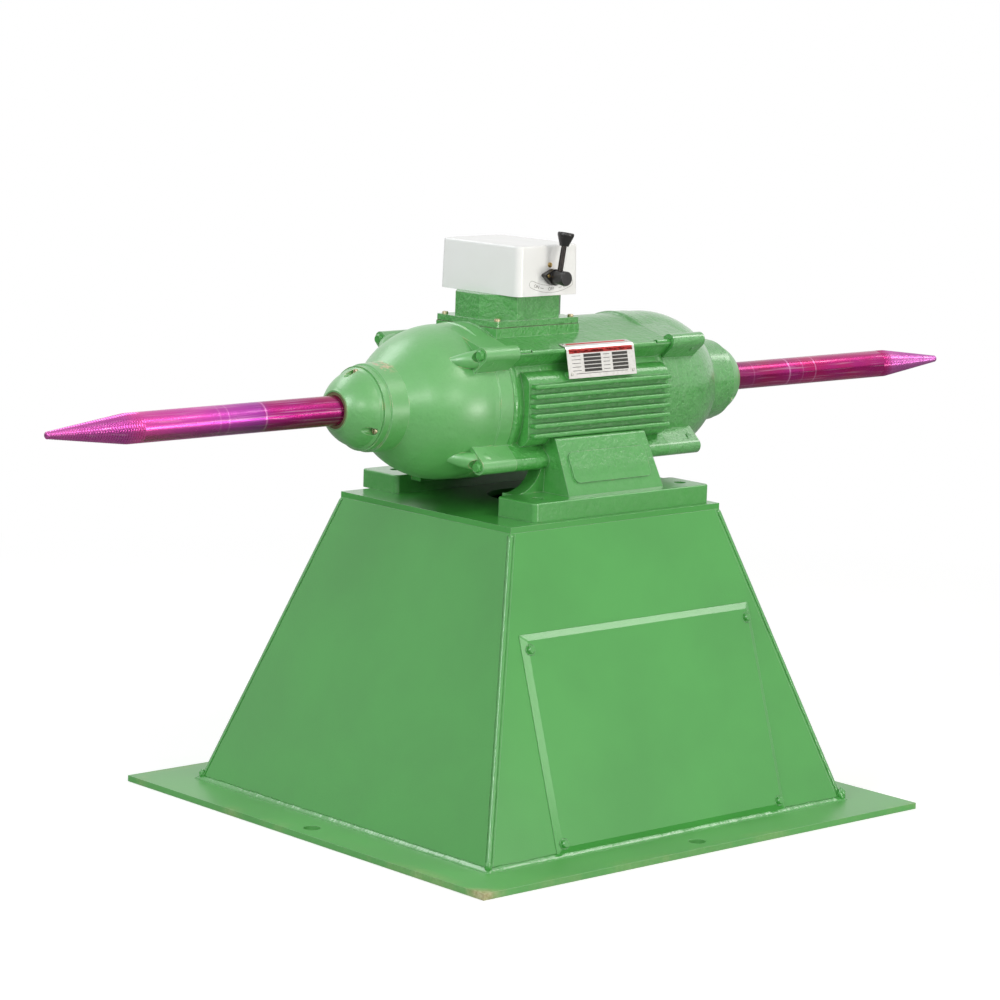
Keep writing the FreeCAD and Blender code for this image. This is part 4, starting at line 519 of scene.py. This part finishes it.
class BUFFER_OT_castings(bpy.types.Operator):
    """Gives the castings their enamel, with the sand grain showing through"""
    bl_idname = "buffer.castings"
    bl_label = "Casting enamel"

    def execute(self, context):
        def housing_scuff(node, place, edges):
            """One rubbed patch on top of the bearing housing, and thin bare lines along its turned rims."""
            x, y, z = (node("SeparateXYZ", {0: place}, axis) for axis in (0, 1, 2))
            off = [node("Math", {0: away_from(node, value, middle), 1: half * MM}, operation="DIVIDE")
                   for value, middle, half in zip((x, y), SCUFF_MIDDLE, SCUFF_HALF)]
            far = node("Math", {0: off[0], 1: off[1]}, operation="MAXIMUM")
            patch = node("MapRange", {"Value": far, "From Min": 1.1, "From Max": 0.7})
            above = node("MapRange", {"Value": z, "From Min": SCUFF_LOW * MM, "From Max": SCUFF_HIGH * MM})
            patch = node("Math", {0: patch, 1: above}, operation="MULTIPLY")
            patch = node("Math", {0: patch, 1: spots(node, place, 9, 0.44, 0.56, 5.0)}, operation="MULTIPLY")
            rim = node("Math", {0: edges, 1: spots(node, place, 22, 0.5, 0.6, 4.0)}, operation="MULTIPLY")
            return node("Math", {0: patch, 1: rim}, operation="MAXIMUM")

        # grey iron, sand cast, under gloss enamel: swollen grain that glitters
        paint(enamel_finish("cast iron under gloss enamel", 0.8, 1.4, chips(9, 0.8), 0.3, blur=0.16,
                            calm_mm=MACHINED_BELOW), "motor_frame")
        # the same iron, coarser: its lumps catch the light
        paint(enamel_finish("coarse cast iron under gloss enamel", 1.2, 1.4, chips(9, 0.8), 0.34, gloss=0.9,
                            blur=0.2), "right_end_bell", "terminal_body")
        # the same iron, rubbed down before spraying: a smoother dome with a broad sheen, its green painted
        # paler than the other castings' as a painted highlight
        paint(enamel_finish("smoothed cast iron under enamel", 0.4, 1.4, housing_scuff, 0.5,
                            colour("#55A452"), 1.0, 0.34), "left_end_bell", *both("bearing_cover"))
        # inside faces, brushed with thin grey-green primer
        paint(enamel_finish("primed cast iron", 0.6, 0.6, None, 0.6, colour("#7F8F80"), 0.0),
              *both("inner_cap"))
        return {"FINISHED"}


def corners_at(left, front, right, back, height):
    """The four corners of a level rectangle, from the front left one round to the back left one."""
    return [Vector((x, y, height)) for x, y in ((left, front), (right, front), (right, back), (left, back))]


def unevenness(at, waves):
    """How much a bead swells at a point, from noise of several scales per millimetre and their shares."""
    return sum(noise.noise(at * scale) * share for scale, share in waves)


class BUFFER_OT_welds(bpy.types.Operator):
    """Lays the weld beads of the pedestal"""
    bl_idname = "buffer.welds"
    bl_label = "Weld beads"

    def execute(self, context):
        settings = context.scene.buffer_welds
        # mild steel weld metal under the enamel: soft ripples and a few spatter beads
        finish = enamel_finish("enamelled weld bead", 0.35, 0.8, chips(12, 0.7), 0.22)
        left, front = box_mm("left_wall")[0].x, box_mm("front_wall")[0].y
        right, back = box_mm("right_wall")[1].x, box_mm("back_wall")[1].y
        top_low, top_high = box_mm("top_plate")
        foot = corners_at(left, front, right, back, box_mm("base_plate")[1].z)
        head = corners_at(top_low.x, top_low.y, top_high.x, top_high.y, top_low.z)
        leg, ripple = settings.fillet_leg / MM, settings.ripple / MM
        outs = [Vector((0, -1, 0)), Vector((1, 0, 0)), Vector((0, 1, 0)), Vector((-1, 0, 0))]

        rings = []
        travel = 0.0
        for side in range(4):
            start, end = foot[side], foot[(side + 1) % 4]
            slope = ((head[side] - start) + (head[(side + 1) % 4] - end)).normalized()
            length = (end - start).length
            steps = int(length / FILLET_STEP)
            for k in range(steps):
                at = start.lerp(end, k / steps)
                out, climb = outs[side], slope
                if k == 0:
                    # the corner's own ring runs out both ways and up the corner
                    out = outs[side] + outs[side - 1]
                    climb = (head[side] - start).normalized() * 1.1
                wave = 0.5 + 0.5 * math.cos(2 * math.pi * (travel + length * k / steps) / ripple)
                size = leg * (1 + RIPPLE_SHARE * wave + unevenness(at, ((0.045, 0.16), (0.4, 0.05))))
                rings.append([at + out * (size * wide + off) + climb * (size * high + up)
                              + Vector((0, 0, lift)) for wide, off, high, up, lift in FILLET_PROFILE])
            travel += length
        new_piece("weld_round_base", *skin(rings, True), finish, "machine")

        reach = settings.corner_half / MM
        for number, (low, high) in enumerate(zip(foot, head)):
            run = high - low
            along = outs[number]
            across = outs[number - 1]
            # the two walls that meet here run level along these
            first, second = -across, -along
            steps = int(run.length / CORNER_STEP)
            rings = []
            for k in range(1, steps):
                at = low.lerp(high, k / steps)
                wave = math.cos(2 * math.pi * run.length * k / steps / ripple)
                swell = 1 + unevenness(at, ((0.06, 0.22),)) + RIPPLE_SHARE * wave
                crown = CORNER_CROWN * swell
                rings.append([at + first * reach * swell + along * CORNER_EDGE,
                              at + first * reach * CORNER_SHOULDER + along * crown,
                              at + (along + across).normalized() * crown,
                              at + second * reach * CORNER_SHOULDER + across * crown,
                              at + second * reach * swell + across * CORNER_EDGE,
                              at + (first + second) * CORNER_ROOT])
            new_piece(f"weld_up_corner_{number + 1}", *skin(rings), finish, "machine")

        # a lump of weld metal at the foot of each corner
        for number, (low, high) in enumerate(zip(foot, head)):
            work = bmesh.new()
            bmesh.ops.create_icosphere(work, subdivisions=4, radius=1.0)
            middle = low + (high - low).normalized() * LUMP_RISE
            middle += (outs[number] + outs[number - 1]) * LUMP_OUT
            size = BIG_LUMP_SIZE if number == BIG_LUMP else LUMP_SIZE
            points = []
            for vertex in work.verts:
                bulge = 1 + 0.2 * noise.noise(vertex.co * 2.1 + Vector((number, 0, 0)))
                bulge += 0.07 * noise.noise(vertex.co * 6)
                points.append(middle + Vector([c * s * bulge for c, s in zip(vertex.co, size)]))
            faces = [tuple(v.index for v in face.verts) for face in work.faces]
            work.free()
            new_piece(f"weld_lump_{number + 1}", points, faces, finish, "machine")
        return {"FINISHED"}


class BUFFER_OT_spindles(bpy.types.Operator):
    """Makes the spindle with its threaded tapers, under a pink film"""
    bl_idname = "buffer.spindles"
    bl_label = "Spindle"

    def execute(self, context):
        settings = context.scene.buffer_spindle
        # ground steel under a clear pink rust-proofing film: a mirror whose colour changes along the axis
        material, shader, node, place = new_finish("ground steel under pink film")
        along = node("SeparateXYZ", {0: place}, 0)
        film = node("ValToRGB", {0: node("MapRange", {"Value": along, "From Min": -FILM_HALF * MM,
                                                      "From Max": FILM_HALF * MM})})
        ramp = film.node.color_ramp
        # millimetres along the axis, and the colour there: deep crimson by the covers and along the right
        # spindle, the film's own, and a pinker, paler stretch along the left spindle, partly the film and
        # partly a painted reflection
        stops = ((-822, "#C95FA9"), (-712, "#BE4C9B"), (-690, "#E0529F"), (-600, "#DB4AAB"),
                 (-548, "#C24AAE"), (-500, "#A83CA0"), (-485, "#B0186E"), (-440, "#A81060"),
                 (-368, "#9A0A48"), (368, "#8E2A4A"), (440, "#A31258"), (520, "#B40F62"),
                 (690, "#B3125F"), (708, "#C765AA"), (822, "#CB7BC0"))
        for number, (x, code) in enumerate(stops):
            position = (x + FILM_HALF) / (2 * FILM_HALF)
            point = ramp.elements.new(position) if number > 1 else ramp.elements[number]
            point.position, point.color = position, colour(code)
        cloud = spots(node, place, 55, 0.38, 0.62, 3.0, (0.6, 1, 1))
        stain = node("Math", {0: cloud, 1: 0.35}, operation="MULTIPLY")
        body = node("Mix", {0: stain, 6: film, 7: colour("#8E1E8C")}, 2, data_type="RGBA")
        # long scratches from buffs pushed on and off, and rings turned by them
        drawn = spots(node, place, 2.6, 0.56, 0.7, 2.0, (0.03, 1, 1))
        scratched = node("Math", {0: drawn, 1: 0.30}, operation="MULTIPLY")
        body = node("Mix", {0: scratched, 6: body, 7: shaded(settings.shade, 1.0, 0.45)}, 2, data_type="RGBA")
        marks = 0.0
        for place_mm, width, strength in ((-493, 2.0, 0.5), (-553, 1.5, 0.35), (-567, 1.2, 0.3),
                                          (480, 2.4, 0.55), (535, 1.6, 0.5), (405, 1.4, 0.2),
                                          (508, 1.4, 0.25)):
            line = node("MapRange", {"Value": away_from(node, along, place_mm), "From Min": width * MM,
                                     "From Max": 0.0, "To Max": strength})
            marks = node("Math", {0: marks, 1: line}, operation="MAXIMUM")
        body = node("Mix", {0: marks, 6: body, 7: colour("#F0A8D8")}, 2, data_type="RGBA")
        rough = node("Math", {0: cloud, 1: 0.08, 2: 0.2}, operation="MULTIPLY_ADD")
        ground = spots(node, place, 1.4, 0.3, 0.7, 2.0, (4, 0.4, 0.4))
        normal = relief(node, node("NewGeometry", output="Normal"), [(ground, 0.006), (marks, 0.1)])
        fill(shader, {"Base Color": body, "Roughness": rough, "Normal": normal, "Metallic": 0.78,
                      "Coat Weight": 0.1, "Coat Roughness": 0.06})

        tip = box_mm("spindle_shaft")[1].x
        pitch, depth = settings.thread_pitch / MM, settings.thread_depth / MM
        sides = settings.sides
        thread_start, thread_end = TAPER_START - settings.thread_run / MM, tip - TIP_ROUNDING
        relief_end = SEAT_END + RELIEF_WIDTH

        # rows of radii round the axis, each at its place along it: first the plain sections
        stations = [(0, CORE_R), (CORE_END, CORE_R), (CORE_END + CORE_CHAMFER, INNER_R), (INNER_END, INNER_R),
                    (INNER_END + STEP, SEAT_R), (SEAT_END, SEAT_R), (SEAT_END + STEP, RELIEF_R),
                    (relief_end, RELIEF_R), (relief_end + STEP, SPINDLE_R), (thread_start, SPINDLE_R)]
        half = [(x, [r] * sides) for x, r in stations]
        # then the thread, cut into the straight end and the taper, and faded at both its ends
        steps = int((thread_end - thread_start) / pitch * STATIONS_PER_TURN)
        for k in range(1, steps + 1):
            x = thread_start + (thread_end - thread_start) * k / steps
            narrowing = max(0.0, (x - TAPER_START) / (thread_end - TAPER_START))
            crest = SPINDLE_R + (TIP_R - SPINDLE_R) * narrowing
            fade = min(1.0, (x - thread_start) / (1.5 * pitch), (thread_end - x) / pitch)
            phases = [(x / pitch + i / sides) % 1.0 for i in range(sides)]
            waves = [0.5 + 0.5 * math.cos(2 * math.pi * phase) for phase in phases]
            half.append((x, [crest - depth * fade * wave ** 1.6 for wave in waves]))
        # and the rounded nose
        half += [(tip - back, [r] * sides) for back, r in NOSE]
        for side, sign in (("left", -1), ("right", 1)):
            rings = [[Vector((sign * x, AXIS.y + r * math.cos(2 * math.pi * i / sides),
                              AXIS.z + r * math.sin(2 * math.pi * i / sides))) for i, r in enumerate(row)]
                     for x, row in half]
            piece = new_piece(f"{side}_spindle", *skin(rings), material, "rotor")
            piece.data.set_sharp_from_angle(angle=math.radians(50))
            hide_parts("spindle_shaft")
        return {"FINISHED"}


def printed(name, quads, material, body):
    """Flat printed patches, each four corners in millimetres."""
    vertices = [corner for quad in quads for corner in quad]
    faces = [tuple(range(4 * k, 4 * k + 4)) for k in range(len(quads))]
    return new_piece(name, vertices, faces, material, body, False)


class BUFFER_OT_rating_plate(bpy.types.Operator):
    """Prints the rating plate with a plain band and empty fields"""
    bl_idname = "buffer.rating_plate"
    bl_label = "Rating plate"

    def execute(self, context):
        # anodised aluminium sheet, rolled: a satin silver with fine level lines
        paint(metal_finish("anodised aluminium sheet", "#D8D6D2", 0.34, "#A39C90", 0.25, (0.25, 3, 3)),
              "rating_plate")
        # rivets of soft aluminium, domed by a hammer
        paint(metal_finish("hammered aluminium", "#C4C2BC", 0.38, "#8A857B", 0.3), "rating_plate_rivets")
        # screen ink, a little worn
        red = moulded_finish("red screen ink", "#D23A36", 0.45, second="#C22F2E")
        black = moulded_finish("black screen ink", "#262422", 0.5, second="#33302C")
        tree = surface_of("rating_plate")
        low, high = box_mm("rating_plate")
        x0, length = low.x, high.x - low.x
        nose_z = low.z + NOSE_DROP

        def on_face(along, down):
            return laid_on(tree, (x0 + along, low.y, nose_z - down), (0, 1, 0), PRINT_LIFT)

        def field(left, top, right, bottom):
            return [on_face(left, top), on_face(right, top), on_face(right, bottom), on_face(left, bottom)]

        def on_header(along, back):
            return laid_on(tree, (x0 + along, high.y - back, high.z), (0, 0, -1), PRINT_LIFT)

        def on_bend(along, degrees):
            turn = math.radians(degrees)
            way = Vector((0, math.cos(turn), -math.sin(turn)))
            return laid_on(tree, (x0 + along, low.y + BEND_R, high.z - BEND_R), way, PRINT_LIFT)

        # the band starts behind the bend and runs over it onto the face
        rows = [partial(on_header, back=back) for back in (2.0, 6.0)]
        rows += [partial(on_bend, degrees=degrees) for degrees in (75, 60, 45, 30, 15)]
        rows += [partial(on_face, down=down) for down in (1.5, 5.0)]
        run = length - 2 * BAND_MARGIN
        columns = [BAND_MARGIN + run * k / BAND_COLUMNS for k in range(BAND_COLUMNS + 1)]
        band = [[upper(a), upper(b), lower(b), lower(a)] for upper, lower in zip(rows, rows[1:])
                for a, b in zip(columns, columns[1:])]
        printed("plate_header_band", band, red, "machine")
        fields = []
        for row in range(FIELD_ROWS):
            top = FIRST_ROW + row * ROW_PITCH
            rule = top + RULE_DROP
            fields += [field(left, top, right, top + FIELD_HEIGHT) for left, right in DARK_FIELDS]
            fields += [field(left, rule, right, rule + RULE_HEIGHT) for left, right in RULE_LINES]
        fields.append(field(*LAST_RULE))
        printed("plate_fields", fields, black, "machine")
        return {"FINISHED"}


class BUFFER_OT_switch(bpy.types.Operator):
    """Finishes the switch box and its handle, and prints the position scale"""
    bl_idname = "buffer.switch"
    bl_label = "Switch"

    def execute(self, context):
        # pressed steel under baked white enamel: smooth and bright
        paint(moulded_finish("baked white enamel", "#F2F2F0", 0.22, 3.0, 0.01, "#F4F4F3", 1.0, 0.0),
              "switch_cover", "switch_base_plate")
        # phenolic moulding, polished by hands
        bakelite = moulded_finish("black phenolic", "#1B1A1A", 0.3, 1.0, 0.06, "#242221", 0.6)
        paint(bakelite, "handle_hub", "handle_knob", "handle_end_cap")
        # drawn steel rod, blacked
        paint(metal_finish("blacked steel", "#2B2826", 0.3, "#4A4038", 0.3, (1, 1, 0.2), 0.8), "handle_rod")
        # turned brass, tarnished
        paint(metal_finish("tarnished brass", "#B79B5E", 0.33, "#6B5630", 0.5), "switch_cover_screw",
              "handle_grub_screw")
        ink = moulded_finish("grey screen ink", "#8D8A84", 0.5, second="#75726D")
        tree = surface_of("switch_cover")
        y = box_mm("switch_cover")[0].y

        def arc_point(angle, r):
            x, z = SCALE_CENTRE_X + r * math.sin(angle), SCALE_BOTTOM_Z + SCALE_R - r * math.cos(angle)
            return laid_on(tree, (x, y, z), (0, 1, 0), SCALE_LIFT)

        def arc_patch(start, end, outer, inner):
            return [arc_point(start, outer), arc_point(end, outer),
                    arc_point(end, inner), arc_point(start, inner)]

        # the outline's two long arcs
        quads = []
        steps = [-SCALE_SPREAD + 2 * SCALE_SPREAD * k / SCALE_STEPS for k in range(SCALE_STEPS + 1)]
        for start, end in zip(steps, steps[1:]):
            quads += [arc_patch(start, end, r, r - SCALE_LINE) for r in (SCALE_R, SCALE_R - SCALE_BAND)]
        # its two round ends
        middle, outer = SCALE_R - SCALE_BAND / 2 - SCALE_LINE / 2, SCALE_BAND / 2
        inner = outer - SCALE_LINE
        for side in (-1, 1):
            for k in range(CAP_STEPS):
                corners = []
                for step, r in ((k, outer), (k + 1, outer), (k + 1, inner), (k, inner)):
                    turn = math.pi * step / CAP_STEPS
                    corners.append(arc_point(side * (SCALE_SPREAD + r * math.sin(turn) / middle),
                                             middle + r * math.cos(turn)))
                quads.append(corners)
        # dashes between the words
        word_r = SCALE_R - SCALE_BAND / 2
        for angle in DASH_ANGLES:
            quads.append(arc_patch(math.radians(angle - DASH_HALF), math.radians(angle + DASH_HALF),
                                   word_r + DASH_ABOVE, word_r - DASH_BELOW))
        printed("switch_scale", quads, ink, "machine")
        for name, words, angle in WORDS:
            text = bpy.data.curves.new(name, "FONT")
            text.body = words
            text.size = WORD_SIZE * MM
            text.align_x, text.align_y = "CENTER", "CENTER"
            text.extrude = WORD_THICKNESS * MM
            text.materials.append(ink)
            sign = bpy.data.objects.new(name, text)
            at = arc_point(math.radians(angle), word_r)
            sign.matrix_world = (Matrix.Translation(at * MM) @ Matrix.Rotation(math.radians(-angle), 4, "Y")
                                 @ Matrix.Rotation(math.radians(90), 4, "X"))
            context.scene.collection.objects.link(sign)
            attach(sign, "machine")
        return {"FINISHED"}


class BUFFER_OT_fasteners(bpy.types.Operator):
    """Finishes the bare screws"""
    bl_idname = "buffer.fasteners"
    bl_label = "Screws"

    def execute(self, context):
        # zinc plate gone dull, with rust in the slots
        paint(metal_finish("dulled zinc plate", "#C9BB9D", 0.42, "#8A5E38", 0.55), *both("cover_screws"),
              "terminal_body_screws", "switch_base_screws")
        return {"FINISHED"}


class BUFFER_OT_inner_works(bpy.types.Operator):
    """Finishes the stator, rotor, bearings, terminals and switch gear inside"""
    bl_idname = "buffer.inner_works"
    bl_label = "Inner works"

    def execute(self, context):
        # electrical steel punchings, stacked: dull grey crossed by edges drawn coarser than real, to show
        paint(metal_finish("stacked punchings", "#8E9093", 0.45, "#5A5148", 0.35, (4, 0.3, 0.3)),
              "stator_core", "rotor_core")
        # enamelled copper wire under varnish, in bundled strands
        paint(metal_finish("varnished copper wire", "#A4572C", 0.3, "#5A2410", 0.4, (0.3, 2, 2), 0.85, 2.0),
              "stator_winding")
        # pressure-cast aluminium, sandy
        paint(metal_finish("cast aluminium", "#B9BBBC", 0.5, "#83827E", 0.3), "rotor_end_rings")
        # hardened bearing steel, ground bright
        paint(metal_finish("ground bearing steel", "#C8C9CB", 0.14, "#9A948A", 0.1, (3, 0.5, 0.5)),
              *both("bearing_outer_ring", "bearing_inner_ring", "bearing_balls"), "rotor_key")
        # pressed brass strip
        paint(metal_finish("pressed brass", "#C3A25A", 0.28, "#7A6234", 0.25), *both("bearing_cage"),
              "terminal_studs")
        # spring steel strip, blued
        paint(metal_finish("blued spring steel", "#5C6472", 0.25, "#3C3A3C", 0.3), "preload_washer")
        # wool felt, oiled: beige fibres gone brown
        paint(moulded_finish("oiled wool felt", "#77704E", 0.9, 0.9, 0.15, "#5E5A3C"), *both("shaft_seal"))
        # cork and rubber sheet, cut: brown specks
        paint(moulded_finish("cork gasket", "#3E5A38", 0.8, 1.5, 0.1, "#5A5A3A"), "terminal_gasket")
        # brown phenolic mouldings
        paint(moulded_finish("brown phenolic", "#3A2418", 0.35, 1.0, 0.05, "#4A2E1E"), "terminal_block",
              "contact_block", "switch_drum")
        # hard-drawn copper strip
        paint(metal_finish("drawn copper", "#C07048", 0.28, "#7A3A1E", 0.3, (1, 1, 0.3)), "contact_fingers")
        return {"FINISHED"}


class BUFFER_PT_machine(bpy.types.Panel):
    bl_idname = "BUFFER_PT_machine"
    bl_label = "Pedestal buffing machine"
    bl_space_type = "VIEW_3D"
    bl_region_type = "UI"
    bl_category = "Buffing machine"

    def draw(self, context):
        for kind in OPERATORS:
            self.layout.operator(kind.bl_idname)
        for name in GROUPS:
            box = self.layout.box()
            group = getattr(context.scene, name)
            for key in group.bl_rna.properties.keys():
                if key not in ("rna_type", "name"):
                    box.prop(group, key)


GROUPS = {"buffer_enamel": EnamelSettings, "buffer_spindle": SpindleSettings, "buffer_welds": WeldSettings,
          "buffer_stage": StageSettings}
OPERATORS = (BUFFER_OT_stage, BUFFER_OT_pedestal, BUFFER_OT_castings, BUFFER_OT_welds, BUFFER_OT_spindles,
             BUFFER_OT_rating_plate, BUFFER_OT_switch, BUFFER_OT_fasteners, BUFFER_OT_inner_works)


def register():
    for kind in (*GROUPS.values(), *OPERATORS, BUFFER_PT_machine):
        bpy.utils.register_class(kind)
    for name, kind in GROUPS.items():
        setattr(bpy.types.Scene, name, PointerProperty(type=kind))


def unregister():
    for name in GROUPS:
        delattr(bpy.types.Scene, name)
    for kind in reversed((*GROUPS.values(), *OPERATORS, BUFFER_PT_machine)):
        bpy.utils.unregister_class(kind)


def main():
    register()
    for kind in OPERATORS:
        group, name = kind.bl_idname.split(".")
        getattr(getattr(bpy.ops, group), name)()


if __name__ == "__main__":
    main()
